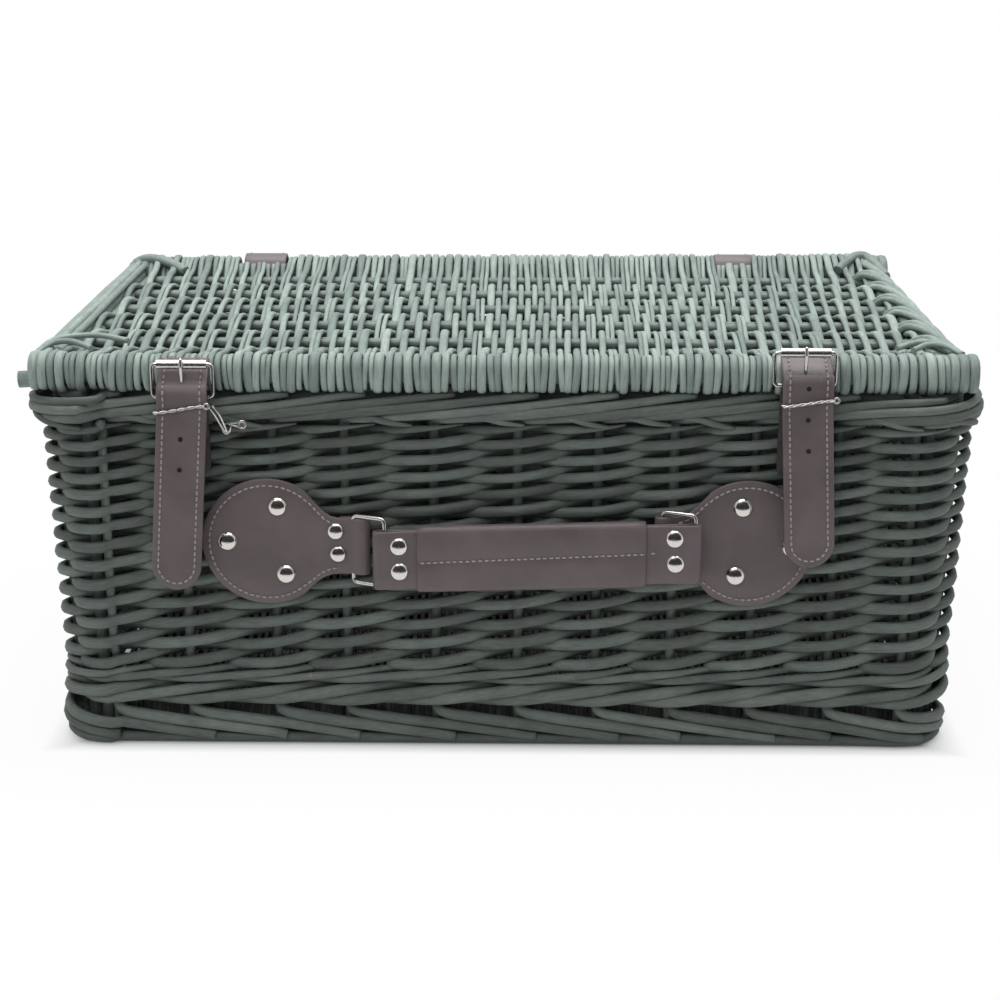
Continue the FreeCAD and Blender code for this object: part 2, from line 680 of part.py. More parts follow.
def chape(x, heel_z):
    """The doubled leather that holds the heel bar, riveted to the wall under the border."""
    wall = WALL_FRONT - WEAVE_CLEAR - CHAPE_LEATHER
    turn = CHAPE_LEATHER * 2
    points = [vec(0, FRAME_Y + HEEL_LOOP - CHAPE_LEATHER, heel_z - BUCKLE_WIRE_D / 2),
              vec(0, CHAPE_Y, heel_z - 2 * BUCKLE_WIRE_D), vec(0, CHAPE_Y, BORDER_Z),
              vec(0, wall, BORDER_Z - 2 * turn), vec(0, wall, CHAPE_TAIL)]
    tail = ribbon(points, [turn, turn, turn], 2 * CHAPE_LEATHER, vec(1, 0, 0))
    tail = tail.extrude(vec(CHAPE_WIDTH, 0, 0))
    heel = vec(0, FRAME_Y, heel_z)
    bore = BUCKLE_WIRE_D / 2 + FIT_CLEAR
    loop = Part.makeCylinder(HEEL_LOOP, CHAPE_WIDTH, heel, vec(1, 0, 0))
    bar = Part.makeCylinder(bore, CHAPE_WIDTH, heel, vec(1, 0, 0))
    shape = loop.fuse(tail).cut(bar).removeSplitter()
    middle = CHAPE_WIDTH / 2
    slot = box(middle - TONGUE_SLOT / 2, middle + TONGUE_SLOT / 2, FRAME_Y - 2 * HEEL_LOOP,
               FRAME_Y + HEEL_LOOP, heel_z - 1.5 * HEEL_LOOP, heel_z + 2 * HEEL_LOOP)
    shape = shape.cut(slot)
    shape.translate(vec(x - middle, 0, 0))
    return shape


def chape_rivet_places():
    face = WALL_FRONT - WEAVE_CLEAR - 2 * CHAPE_LEATHER
    return [vec(x + side * CHAPE_WIDTH / 4, face, CHAPE_TAIL + 6.0)
            for _, x, _, _ in CLOSURES for side in (-1, 1)]


def buckle_frame(x, heel_z):
    """A bent wire frame; its lower bar is the heel bar and its upper bar holds the roller."""
    half = BUCKLE_WIDTH / 2
    top = heel_z + BUCKLE_HEIGHT
    corners = [vec(x - half, FRAME_Y, heel_z), vec(x + half, FRAME_Y, heel_z),
               vec(x + half, FRAME_Y, top), vec(x - half, FRAME_Y, top)]
    return rod_loop(corners, BUCKLE_WIRE_D, BUCKLE_WIRE_D / 2)


def buckle_roller(x, heel_z):
    start = vec(x - ROLLER_LENGTH / 2, FRAME_Y, heel_z + BUCKLE_HEIGHT)
    end = start + vec(ROLLER_LENGTH, 0, 0)
    tube = cylinder(start, end, ROLLER_D / 2)
    return tube.cut(cylinder(start, end, BUCKLE_WIRE_D / 2 + FIT_CLEAR))


def buckle_tongue(x, heel_z):
    """A prong with an eye that turns on the heel bar, in the slot of the chape."""
    width = TONGUE_SLOT - 4 * SEAT_CLEAR
    start = vec(-width / 2, FRAME_Y, heel_z)
    end = vec(width / 2, FRAME_Y, heel_z)
    eye = cylinder(start, end, BUCKLE_WIRE_D / 2 + FIT_CLEAR + TONGUE_D / 2)
    shape = eye.fuse(tongue_prong(heel_z, TONGUE_D / 2))
    shape = shape.cut(cylinder(start, end, BUCKLE_WIRE_D / 2 + FIT_CLEAR))
    shape.translate(vec(x, 0, 0))
    return shape


def keeper(x, heel_z):
    """A wire loop that holds the strap flat below the buckle."""
    half = STRAP_WIDTH / 2 + KEEPER_WIRE_D + KEEPER_SLACK
    z = heel_z - KEEPER_DROP
    corners = [vec(x - half, KEEPER_FRONT, z), vec(x + half, KEEPER_FRONT, z),
               vec(x + half, KEEPER_BACK, z), vec(x - half, KEEPER_BACK, z)]
    return rod_loop(corners, KEEPER_WIRE_D, KEEPER_WIRE_D / 2)


def keeper_tie(x, heel_z):
    """Two wires from the keeper's end to the wall under the border, beside the strap."""
    start_x = x + STRAP_WIDTH / 2 + 2 * KEEPER_WIRE_D + KEEPER_SLACK
    z = heel_z - KEEPER_DROP
    wall = WALL_FRONT - KEEPER_WIRE_D / 2 - WEAVE_CLEAR
    radius = KEEPER_WIRE_D / 2
    clear_y = BORDER_FRONT - KEEPER_WIRE_D
    wires = []
    for index in range(2):
        shift = vec(1.5 * KEEPER_WIRE_D * index, 0, 0)
        points = [vec(start_x, KEEPER_FRONT, z), vec(start_x + TIE_RUN / 2, clear_y, z - 4.0),
                  vec(start_x + TIE_RUN * 0.8, clear_y, BORDER_Z - KEEPER_WIRE_D),
                  vec(start_x + TIE_RUN, wall, BORDER_Z - 3 * KEEPER_WIRE_D)]
        points = [point + shift for point in points]
        runs = [cylinder(a, b, radius) for a, b in zip(points, points[1:])]
        wires.append(runs[0].fuse(runs[1:] + [Part.makeSphere(radius, p) for p in points[1:3]]))
    return wires


def keeper_pin(x):
    """A split pin with a ring end, pushed into the weave beside the left strap."""
    y = WALL_FRONT - KEEPER_WIRE_D / 2 - WEAVE_CLEAR
    z = BORDER_Z - 6 * KEEPER_WIRE_D
    ring_x = x + STRAP_WIDTH / 2 + TIE_RUN + PIN_LENGTH
    ring = Part.makeTorus(2 * KEEPER_WIRE_D, KEEPER_WIRE_D / 2, vec(ring_x, y, z), vec(0, 1, 0))
    stem_end = ring_x - 2 * KEEPER_WIRE_D
    stem = cylinder(vec(stem_end - PIN_LENGTH, y, z), vec(stem_end, y, z), KEEPER_WIRE_D / 2)
    return ring.fuse(stem)


# ---------------------------------------------------------------- handle
def left_plate():
    """A round leather plate whose neck folds round the fixed bar of the left ring."""
    loop_x = HANDLE_X - LOOP_SPACING / 2
    centre_x = loop_x - PLATE_OFFSET
    back = WALL_FRONT - SEAT_CLEAR
    front = back - PLATE_LEATHER
    double = front - PLATE_LEATHER
    far = centre_x - PLATE_RADIUS - 1.0
    low = PLATE_Z - PLATE_RADIUS - 1.0
    profile = polygon([vec(far, back, low), vec(loop_x, back, low), vec(loop_x, LOOP_Y - EYE, low),
                       vec(loop_x - TAB_TAPER, double, low), vec(loop_x - 5.0 * EYE, double, low),
                       vec(loop_x - 6.0 * EYE, front, low), vec(far, front, low)])
    height = 2 * (PLATE_RADIUS + 1.0)
    leather = profile.extrude(vec(0, 0, height))
    leather = leather.fuse(Part.makeCylinder(EYE, height, vec(loop_x, LOOP_Y, low)))
    disc = cylinder(vec(centre_x, LOOP_Y - 2 * EYE, PLATE_Z), vec(centre_x, LOOP_Y + 2 * EYE, PLATE_Z),
                    PLATE_RADIUS)
    flare_x = centre_x + PLATE_RADIUS * math.cos(math.radians(45))
    flare_z = PLATE_RADIUS * math.sin(math.radians(45))
    neck_x = centre_x + PLATE_RADIUS + 2.0
    tab_x = loop_x + 2 * EYE
    outline = polygon([vec(flare_x, LOOP_Y - 2 * EYE, PLATE_Z + flare_z),
                       vec(neck_x, LOOP_Y - 2 * EYE, HANDLE_Z + NECK_HALF),
                       vec(tab_x, LOOP_Y - 2 * EYE, HANDLE_Z + NECK_HALF),
                       vec(tab_x, LOOP_Y - 2 * EYE, HANDLE_Z - NECK_HALF),
                       vec(neck_x, LOOP_Y - 2 * EYE, HANDLE_Z - NECK_HALF),
                       vec(flare_x, LOOP_Y - 2 * EYE, PLATE_Z - flare_z)])
    cutter = outline.extrude(vec(0, 4 * EYE, 0)).fuse(disc)
    bore = Part.makeCylinder(RING_WIRE_D / 2 + FIT_CLEAR, height, vec(loop_x, LOOP_Y, low))
    return leather.common(cutter).cut(bore)


def plate_rivet_places():
    """Three big rivets on each plate, the right one a mirror of the left."""
    centre_x = HANDLE_X - LOOP_SPACING / 2 - PLATE_OFFSET
    face = WALL_FRONT - SEAT_CLEAR - PLATE_LEATHER
    left = [vec(centre_x + 5.0, face, PLATE_Z + 18.0), vec(centre_x - 20.5, face, PLATE_Z + 0.5),
            vec(centre_x + 8.0, face, PLATE_Z - 16.5)]
    return left + [vec(2 * HANDLE_X - p.x, p.y, p.z) for p in left]


def neck_rivet_places():
    """Two small rivets through the doubled neck of each plate."""
    x = HANDLE_X - LOOP_SPACING / 2 - TAB_TAPER - SMALL_RIVET[0] - SEAT_CLEAR
    face = WALL_FRONT - SEAT_CLEAR - 2 * PLATE_LEATHER
    left = [vec(x, face, HANDLE_Z + side * NECK_RIVET_SPREAD) for side in (-1, 1)]
    return left + [vec(2 * HANDLE_X - p.x, p.y, p.z) for p in left]


def ring(loop_x):
    """A rectangular wire ring, turned out from the wall by its rest angle."""
    low = HANDLE_Z - RING_HEIGHT / 2
    high = HANDLE_Z + RING_HEIGHT / 2
    near_x = loop_x
    far_x = loop_x + RING_REACH
    corners = [vec(near_x, LOOP_Y, high), vec(near_x, LOOP_Y, low),
               vec(far_x, LOOP_Y, low), vec(far_x, LOOP_Y, high)]
    loop = rod_loop(corners, RING_WIRE_D, RING_WIRE_D / 2)
    loop.rotate(vec(loop_x, LOOP_Y, 0), vec(0, 0, 1), -RING_REST)
    return loop


def handle_strap():
    """Two layers of leather folded round the free bar of each ring and sewn together."""
    half = LOOP_SPACING / 2
    web = PLATE_LEATHER
    low = HANDLE_Z - TAB_HALF
    pinch = half - TAB_TAPER
    points = [vec(-half, -EYE), vec(-pinch, -web), vec(pinch, -web), vec(half, -EYE),
              vec(half, EYE), vec(pinch, web), vec(-pinch, web), vec(-half, EYE)]
    strap = polygon(points).extrude(vec(0, 0, 2 * TAB_HALF))
    for side in (-1, 1):
        strap = strap.fuse(Part.makeCylinder(EYE, 2 * TAB_HALF, vec(side * half, 0, 0)))
    for side in (-1, 1):
        bore = RING_WIRE_D / 2 + FIT_CLEAR
        strap = strap.cut(Part.makeCylinder(bore, 2 * TAB_HALF, vec(side * half, 0, 0)))
    strap.translate(vec(HANDLE_MIDDLE, HANDLE_BAR_Y, low))
    return strap


def grip_sleeve():
    """A wider leather sleeve sewn round the middle of the handle."""
    half = GRIP_LENGTH / 2
    outer = box(-half, half, -GRIP_THICK / 2, GRIP_THICK / 2, -GRIP_HEIGHT / 2, GRIP_HEIGHT / 2)
    long_edges = [e for e in outer.Edges if abs(e.tangentAt(0).x) > 0.9]
    outer = outer.makeFillet(GRIP_THICK / 2 - SLEEVE / 2, long_edges)
    room = PLATE_LEATHER + WEAVE_CLEAR
    inner = box(-half, half, -room, room, -TAB_HALF - WEAVE_CLEAR, TAB_HALF + WEAVE_CLEAR)
    sleeve = outer.cut(inner)
    sleeve.translate(vec(HANDLE_MIDDLE + GRIP_SHIFT, HANDLE_BAR_Y, HANDLE_Z))
    return sleeve


def handle_rivet_places():
    """Two rivets through each end of the handle, between its fold and the grip."""
    half = LOOP_SPACING / 2 - TAB_TAPER - HANDLE_RIVET[0]
    face = HANDLE_BAR_Y - PLATE_LEATHER
    return [vec(HANDLE_MIDDLE + sx * half, face, HANDLE_Z + sz * 6.4)
            for sx in (-1, 1) for sz in (-1, 1)]


# ---------------------------------------------------------------- rivets and their holes
def wall_length(leather):
    """Length of a rivet through leather and wall."""
    return leather + WEAVE_CLEAR + SEAT_CLEAR + 2 * HALF_WALL


def wall_rivets(places, direction, sizes, length, washer):
    """Rivets with a washer inside the basket, and the holes they need."""
    rivets = [rivet(place, direction, sizes, length, washer) for place in places]
    holes = [cylinder(place, place - direction * length, sizes[2] + HOLE_CLEAR) for place in places]
    return rivets, holes


def layer_rivets(places, direction, sizes, length):
    """Rivets that join layers of leather only."""
    rivets = [rivet(place, direction, sizes, length) for place in places]
    holes = [cylinder(place, place - direction * length * 1.5, sizes[2] + HOLE_CLEAR)
             for place in places]
    return rivets, holes


# ---------------------------------------------------------------- build
def build_basket(front_holes, back_holes):
    right_start = FRONT_RUNS + 1
    back_start = right_start + END_RUNS + 1
    left_start = back_start + FRONT_RUNS + 1
    save("front_weave", drill(wall_weave(0, FRONT_RUNS), front_holes))
    save("right_weave", wall_weave(right_start, END_RUNS))
    save("back_weave", drill(wall_weave(back_start, FRONT_RUNS), back_holes))
    save("left_weave", wall_weave(left_start, END_RUNS))
    corners = [start - 1 for start in (right_start, back_start, left_start, len(RUNS))]
    save("corner_weave", [rod for corner in corners for rod in wall_weave(corner, 1)])
    save("stakes", drill(stakes(), front_holes + back_holes))
    save("upsett_wale", upsett_wale())
    save("top_border", drill(top_border(), back_holes))
    save("foot_border", foot_border())
    rails, sticks, weavers = base_mat()
    save("base_rails", rails)
    save("base_sticks", sticks)
    save("base_weave", weavers)


def build_lid():
    tacks = []
    holes = []
    for _, x, _, end_angle in CLOSURES:
        for place, out in tack_places(x, end_angle):
            tacks.append(rivet(place, out, TACK, tack_length()))
            holes.append(cylinder(place, place - out * (tack_length() + SEAT_CLEAR),
                                  TACK[2] + HOLE_CLEAR))
    front_rail, rear_rail, sticks, weavers = lid_mat()
    save("lid_front_rail", drill([front_rail], holes))
    save("lid_rear_rail", rear_rail)
    save("lid_sticks", sticks)
    save("lid_weave", drill(weavers, holes))
    save("lid_edge_rods", lid_edge_rods())
    save("strap_tacks", tacks)
    return holes


def build_hinges():
    rivets = []
    holes = []
    for places, length in hinge_rivet_rows():
        row, row_holes = wall_rivets(places, vec(0, 1, 0), HINGE_RIVET, length, HINGE_RIVET[0])
        rivets += row
        holes += row_holes
    for name, x in HINGES:
        save("hinge_strap_" + name, drill([hinge_strap(x)], holes))
    save("hinge_rivets", rivets)
    return holes


def build_closures(tack_holes):
    places = chape_rivet_places()
    rivets, holes = wall_rivets(places, vec(0, -1, 0), TACK, wall_length(2 * CHAPE_LEATHER),
                                2 * TACK[0])
    save("chape_rivets", rivets)
    for name, x, heel_z, end_angle in CLOSURES:
        save("strap_head_" + name, drill([strap_head(x, heel_z, end_angle)], tack_holes))
        save("strap_tail_" + name, strap_tail(x, heel_z))
        save("chape_" + name, drill([chape(x, heel_z)], holes))
        save("buckle_frame_" + name, buckle_frame(x, heel_z))
        save("buckle_roller_" + name, buckle_roller(x, heel_z))
        save("buckle_tongue_" + name, buckle_tongue(x, heel_z))
        save("keeper_" + name, keeper(x, heel_z))
    _, left_x, left_heel, _ = CLOSURES[0]
    save("keeper_tie", keeper_tie(left_x, left_heel))
    save("keeper_pin", keeper_pin(left_x))
    return holes


def build_handle():
    forward = vec(0, -1, 0)
    big, big_holes = wall_rivets(plate_rivet_places(), forward, BIG_RIVET,
                                 wall_length(PLATE_LEATHER), BIG_RIVET[0])
    small, small_holes = layer_rivets(neck_rivet_places(), forward, SMALL_RIVET,
                                      2 * PLATE_LEATHER)
    tabs, tab_holes = layer_rivets(handle_rivet_places(), forward, HANDLE_RIVET,
                                   2 * PLATE_LEATHER)
    plate = left_plate()
    holes = big_holes + small_holes
    save("handle_plate_left", drill([plate], holes))
    save("handle_plate_right", drill([mirrored(plate, HANDLE_X)], holes))
    save("plate_rivets", big)
    save("neck_rivets", small)
    save("ring_left", ring(HANDLE_X - LOOP_SPACING / 2))
    save("ring_right", ring(HANDLE_X + LOOP_SPACING / 2))
    save("handle_strap", drill([handle_strap()], tab_holes))
    save("grip_sleeve", grip_sleeve())
    save("handle_rivets", tabs)
    return big_holes


def main():
    os.makedirs("parts", exist_ok=True)
    hinge_holes = build_hinges()
    plate_holes = build_handle()
    tack_holes = build_lid()
    chape_holes = build_closures(tack_holes)
    build_basket(plate_holes + chape_holes, hinge_holes)


main()
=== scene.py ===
"""Wicker hamper: the dressed scene. Sizes here are in millimetres and become metres in each mesh."""
import json
import math
import random

import bpy
import numpy as np
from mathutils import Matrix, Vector


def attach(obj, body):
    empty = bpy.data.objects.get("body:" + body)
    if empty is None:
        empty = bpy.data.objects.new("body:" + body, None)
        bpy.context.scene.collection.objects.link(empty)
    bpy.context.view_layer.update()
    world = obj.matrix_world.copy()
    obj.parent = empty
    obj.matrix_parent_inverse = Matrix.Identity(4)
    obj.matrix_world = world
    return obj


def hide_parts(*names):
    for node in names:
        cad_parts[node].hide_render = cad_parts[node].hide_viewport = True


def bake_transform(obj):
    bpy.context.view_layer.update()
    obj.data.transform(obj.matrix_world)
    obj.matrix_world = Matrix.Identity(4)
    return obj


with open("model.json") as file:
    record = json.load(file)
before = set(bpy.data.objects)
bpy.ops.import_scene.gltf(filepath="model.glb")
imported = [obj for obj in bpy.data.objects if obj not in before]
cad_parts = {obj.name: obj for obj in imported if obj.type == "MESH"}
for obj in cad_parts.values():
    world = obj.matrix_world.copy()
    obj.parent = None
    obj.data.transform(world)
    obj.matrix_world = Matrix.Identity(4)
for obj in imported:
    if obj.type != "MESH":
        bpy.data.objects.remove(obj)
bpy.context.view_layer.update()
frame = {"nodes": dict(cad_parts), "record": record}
SCALE = 0.001
BASKET, LID = "basket", "lid"

# stake line of the walls, the same as the solids
LINE_X, LINE_Y, CORNER = 218.1, 139.1, 20.6
FLAT_X, FLAT_Y = LINE_X - CORNER, LINE_Y - CORNER
ARC = CORNER * math.pi / 2
PITCH = 39.5
FRONT_STAKES, END_STAKES = 11, 7
STAKES = 2 * (FRONT_STAKES + END_STAKES)
FRONT_SHIFTS = (0.0, -1.0, 4.0, 0.0, 5.0, 7.0, 7.0, 5.0, 5.5, 6.0, 2.5)    # of the front stakes
RUNS = (2 * FLAT_X, ARC, 2 * FLAT_Y, ARC) * 2
ROUND = sum(RUNS)

LID_Z, LID_RAIL_Y, LID_RAIL_R = 193.6, 139.7, 6.0
BASE_Z, BASE_RAIL_Y, BASE_RAIL_R = 12.7, 130.6, 4.1
LEVELS = 26                      # levels of the wall weave, one per stake that a rod climbs past

FULL_TURN = 2 * math.pi
ACROSS, TO_FRONT, UP = (1.0, 0.0, 0.0), (0.0, -1.0, 0.0), (0.0, 0.0, 1.0)
SQUARING = 0.8                   # power that squares off the weavers of the mats and their wraps


# ---------------------------------------------------------------- small geometry
def unit(rows):
    """Each row as a direction of length one."""
    return rows / np.linalg.norm(rows, axis=1)[:, None]


def running_length(points):
    """Length of a line from its start to each of its points."""
    return np.concatenate([[0.0], np.cumsum(np.linalg.norm(np.diff(points, axis=0), axis=1))])


def squared(wave, power):
    return np.sign(wave) * np.abs(wave) ** power


def smooth(points, per=6):
    """Catmull-Rom line through the points, in whatever coordinates they have."""
    points = np.asarray(points, float)
    padded = np.vstack([2 * points[0] - points[1], points, 2 * points[-1] - points[-2]])
    result = []
    for i in range(len(points) - 1):
        p0, p1, p2, p3 = padded[i:i + 4]
        for t in np.arange(per) / per:
            result.append(0.5 * (2 * p1 + (p2 - p0) * t + (2 * p0 - 5 * p1 + 4 * p2 - p3) * t ** 2
                                 + (3 * p1 - p0 - 3 * p2 + p3) * t ** 3))
    result.append(points[-1])
    return np.array(result)


def wobble(u, rng, size):
    """A slow random wave along u."""
    result = np.zeros_like(u)
    for rate in (0.7, 1.7, 3.1):
        result += math.sqrt(0.5) * np.sin(rate * u + rng.uniform(0, 6.28)) * rng.uniform(0.4, 1.0)
    return result * size / 1.5


# ---------------------------------------------------------------- meshes made of many rods
class Batch:
    """Many rods and bands in one mesh, with a tint for each and a grain direction."""

    def __init__(self):
        self.verts, self.faces, self.flat, self.slots = [], [], [], []
        self.tint, self.grain = [], []
        self.count = 0

    def add(self, rings, tint, slot=0, closed=False):
        """Join a stack of rings (count, sides, 3) into a tube with flat ends."""
        count, sides, _ = rings.shape
        turn = np.arange(sides) / sides * FULL_TURN
        seed = (len(self.verts) * 7.31) % 97.0      # so that no two rods have the same grain
        grain = np.empty((count, sides, 3))
        grain[:, :, 0] = running_length(rings.mean(axis=1))[:, None] * 0.05 + seed
        grain[:, :, 1] = np.cos(turn)[None, :]
        grain[:, :, 2] = np.sin(turn)[None, :] + seed
        self.verts.append(rings.reshape(-1, 3))
        self.grain.append(grain.reshape(-1, 3))
        self.tint.append(np.full(count * sides, tint))
        index = self.count + np.arange(count * sides).reshape(count, sides)
        a, b = index[:-1], index[1:]
        quads = np.stack([a, np.roll(a, -1, axis=1), np.roll(b, -1, axis=1), b], axis=-1).reshape(-1, 4)
        self.faces.extend(quads.tolist())
        self.flat.extend([False] * len(quads))
        self.slots.extend([slot] * len(quads))
        if not closed:
            self.faces.extend([index[0][::-1].tolist(), index[-1].tolist()])
            self.flat.extend([True, True])
            self.slots.extend([slot, slot])
        self.count += count * sides

    def rod(self, points, out, half_out, half_side, tint=0.5, sides=8, slot=0, closed=False, power=1.0):
        """Sweep an oval along points. Its half_out axis points along out, and a power under 1
        squares the oval off."""
        points = np.asarray(points, float)
        count = len(points)
        ahead = np.gradient(points, axis=0)
        if closed:
            ahead[0] = ahead[-1] = points[1] - points[-2]
        ahead = unit(ahead)
        side = unit(np.cross(ahead, np.broadcast_to(np.asarray(out, float), (count, 3))))
        normal = np.cross(side, ahead)
        half_out = np.broadcast_to(half_out, (count,))
        half_side = np.broadcast_to(half_side, (count,))
        turn = np.arange(sides) / sides * FULL_TURN
        rings = (points[:, None, :]
                 + side[:, None, :] * (half_side[:, None] * squared(np.cos(turn), power))[:, :, None]
                 + normal[:, None, :] * (half_out[:, None] * squared(np.sin(turn), power))[:, :, None])
        self.add(rings, tint, slot, closed)

    def build(self, name, materials, slot):
        """The finished object, in metres."""
        mesh = bpy.data.meshes.new(name)
        verts = np.concatenate(self.verts) * SCALE
        mesh.from_pydata(verts.tolist(), [], self.faces)
        mesh.polygons.foreach_set("use_smooth", [not flat for flat in self.flat])
        mesh.polygons.foreach_set("material_index", self.slots)
        tint = mesh.attributes.new("tint", "FLOAT", "POINT")
        tint.data.foreach_set("value", np.concatenate(self.tint))
        grain = mesh.attributes.new("grain", "FLOAT_VECTOR", "POINT")
        grain.data.foreach_set("vector", np.concatenate(self.grain).ravel())
        for material in materials:
            mesh.materials.append(material)
        mesh.update()
        obj = bpy.data.objects.new(name, mesh)
        bpy.context.collection.objects.link(obj)
        return obj


def place(batch, name, materials, body, nodes, slot="painted_willow"):
    """Build a batch, let it ride its body, and let it stand for its nodes."""
    obj = batch.build(name, materials, slot)
    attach(obj, body)
    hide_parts(*nodes)


# ---------------------------------------------------------------- round the walls
def around(s):
    """Points and outward directions on the stake line, anticlockwise from the front left stake."""
    s = np.mod(np.asarray(s, float), ROUND)
    x, y = np.zeros_like(s), np.zeros_like(s)
    nx, ny = np.zeros_like(s), np.zeros_like(s)
    start = 0.0
    centres = ((FLAT_X, -FLAT_Y), (FLAT_X, FLAT_Y), (-FLAT_X, FLAT_Y), (-FLAT_X, -FLAT_Y))
    for side in range(4):
        turn = side * math.pi / 2
        ahead = (math.cos(turn), math.sin(turn))
        out = (math.sin(turn), -math.cos(turn))
        run = RUNS[2 * side]
        corner = centres[side]
        pick = (s >= start) & (s < start + run)
        back = run - (s[pick] - start)
        x[pick] = corner[0] + out[0] * CORNER - ahead[0] * back
        y[pick] = corner[1] + out[1] * CORNER - ahead[1] * back
        nx[pick], ny[pick] = out
        start += run
        pick = (s >= start) & (s < start + ARC)
        angle = turn - math.pi / 2 + (s[pick] - start) / CORNER
        nx[pick], ny[pick] = np.cos(angle), np.sin(angle)
        x[pick] = corner[0] + CORNER * nx[pick]
        y[pick] = corner[1] + CORNER * ny[pick]
        start += ARC
    return x, y, nx, ny


def stake_places():
    places, start = [], 0.0
    for side in range(4):
        count = FRONT_STAKES if side % 2 == 0 else END_STAKES
        shifts = FRONT_SHIFTS if side == 0 else (0.0,) * count
        places += [start + PITCH * i + shift for i, shift in enumerate(shifts)]
        start += RUNS[2 * side] + ARC
    return places


STAKE_LINE = np.array([s + lap * ROUND for lap in range(-1, 3) for s in stake_places()])
STAKE_COUNT = np.arange(-STAKES, 3 * STAKES)
# stake counts at the middles of the corners, from the front right one on
CORNER_COUNTS = [FRONT_STAKES - 0.5 + turn for turn in (0, END_STAKES, STAKES / 2, END_STAKES + STAKES / 2)]
CORNER_SPREAD = 0.85                         # stakes on each side that a corner's bulge reaches
WEAVE_REACH, STIFF_REACH = (1.22, 1.0, 1.0, 1.0), (0.2, 1.0, 1.0, 1.0)   # shares of it at the corners
BORDER_BULGE, FOOT_BULGE = 2.8, 3.0          # how much further stiff rods swing out there
WALL_BULGE, WALL_BULGE_RISE = 1.5, 0.045     # of the whole wall, at the ground and for each mm of height


def corner_bulge(u, reaches=STIFF_REACH):
    """How far rods swing out at the corners, as a share of the most."""
    u = np.mod(np.asarray(u, float), STAKES)
    return sum(reach * np.exp(-((u - middle) / CORNER_SPREAD) ** 2)
               for reach, middle in zip(reaches, CORNER_COUNTS))


def wall_points(u, n, z):
    """Points for stake counts u, distances n outwards from the stake line, and heights z."""
    u, n, z = np.broadcast_arrays(np.asarray(u, float), np.asarray(n, float), np.asarray(z, float))
    x, y, nx, ny = around(np.interp(u, STAKE_COUNT, STAKE_LINE))
    n = n + (WALL_BULGE + WALL_BULGE_RISE * z) * corner_bulge(u, WEAVE_REACH)
    points = np.stack([x + nx * n, y + ny * n, z], axis=1)
    out = np.stack([nx, ny, np.zeros_like(nx)], axis=1)
    return points, out


def wall_rod(batch, knots, half_out, half_side, tint, per=6, bulge=0.0):
    """A rod through (stake count, outwards, height) knots. Its sizes run from first to last."""
    line = smooth(knots, per)
    points, out = wall_points(line[:, 0], line[:, 1] + bulge * corner_bulge(line[:, 0]), line[:, 2])
    share = np.linspace(0, 1, len(line))
    sizes = [np.interp(share, np.linspace(0, 1, len(size)), size) for size in (half_out, half_side)]
    batch.rod(points, out, *sizes, tint)


FIRST_LEVEL, LEVEL_RISE, LEVEL_CLOSING = 43.9, 5.5, 0.0303
WEAVE_SWING = 4.85               # of a weaver to each side of the stake line
BACK_GAIN = 0.42                 # weavers of the back wall are higher, which closes its gaps


def level_height(level):
    """Height of a level of the weave. The levels get closer upwards, as the rods get thinner."""
    return FIRST_LEVEL + LEVEL_RISE * level - LEVEL_CLOSING * level ** 2


def wall_weave():
    """One long rod from each stake: out, in, and one level up at each stake that it passes."""
    batches = [Batch() for _ in range(3)]
    for rod in range(STAKES):
        rng = random.Random(100 + rod)
        u = np.arange(-0.55, LEVELS + 0.4, 0.1)
        size = rng.uniform(0.93, 1.06)
        swing = np.cos(math.pi * u)
        n = (WEAVE_SWING + wobble(u, rng, 0.25)) * swing
        z = level_height(u) + wobble(u, rng, 0.5)
        height = (3.15 - 0.6 * u / LEVELS) * size * (1.0 - 0.04 * np.abs(swing))
        thick = (2.35 - 0.25 * u / LEVELS) * size
        ends = np.clip((LEVELS + 0.45 - u) / 0.8, 0.3, 1.0)
        points, out = wall_points(rod + u, n, z)
        height = height * (1.0 + BACK_GAIN * np.clip(out[:, 1], 0, 1))
        batches[rod % 3].rod(points, out, thick * ends, height * ends, rng.random(), power=0.9)
    return batches


STAKE_FOOT, STAKE_TOP, STAKE_HALF = 9.0, 179.6, (2.3, 2.5)


def stake_rods():
    batch = Batch()
    for stake in range(STAKES):
        rng = random.Random(300 + stake)
        z = np.linspace(STAKE_FOOT, STAKE_TOP, 24)
        u = stake + wobble(z / 40.0, rng, 0.012)
        n = wobble(z / 30.0, rng, 0.15)
        points, out = wall_points(u, n, z)
        batch.rod(points, out, STAKE_HALF[0], STAKE_HALF[1] * rng.uniform(0.92, 1.05), rng.random())
    return batch


# lower and upper height of each row of the wale, its reach outwards, and its rods' half sizes
WALE_ROWS = ((24.0, 29.2, 5.3, 2.6, 3.1), (34.7, 38.4, 4.8, 2.2, 2.15))


def wale_rods():
    """Two rows under the weave: each rod passes outside two stakes and inside the next."""
    batch = Batch()
    for low, high, reach, half_out, half_side in WALE_ROWS:
        for stake in range(STAKES):
            rng = random.Random(500 + stake + int(low))
            size = rng.uniform(0.9, 1.06)
            lift = rng.uniform(-0.4, 0.4)
            knots = [(stake - 0.1, -4.3, low - 1.0), (stake + 0.45, -0.4, low - 0.8),
                     (stake + 1, reach, low + lift), (stake + 1.5, reach + 0.4, (low + high) / 2 + lift),
                     (stake + 2, reach, high + lift), (stake + 2.55, -0.4, high + 1.2),
                     (stake + 3.1, -4.3, high + 1.6)]
            # tints from 0.4 up make these low rods lighter: painted light bounced from the floor
            wall_rod(batch, knots, (half_out * size,), (half_side * size,), 0.4 + 0.6 * rng.random(), per=5)
    return batch


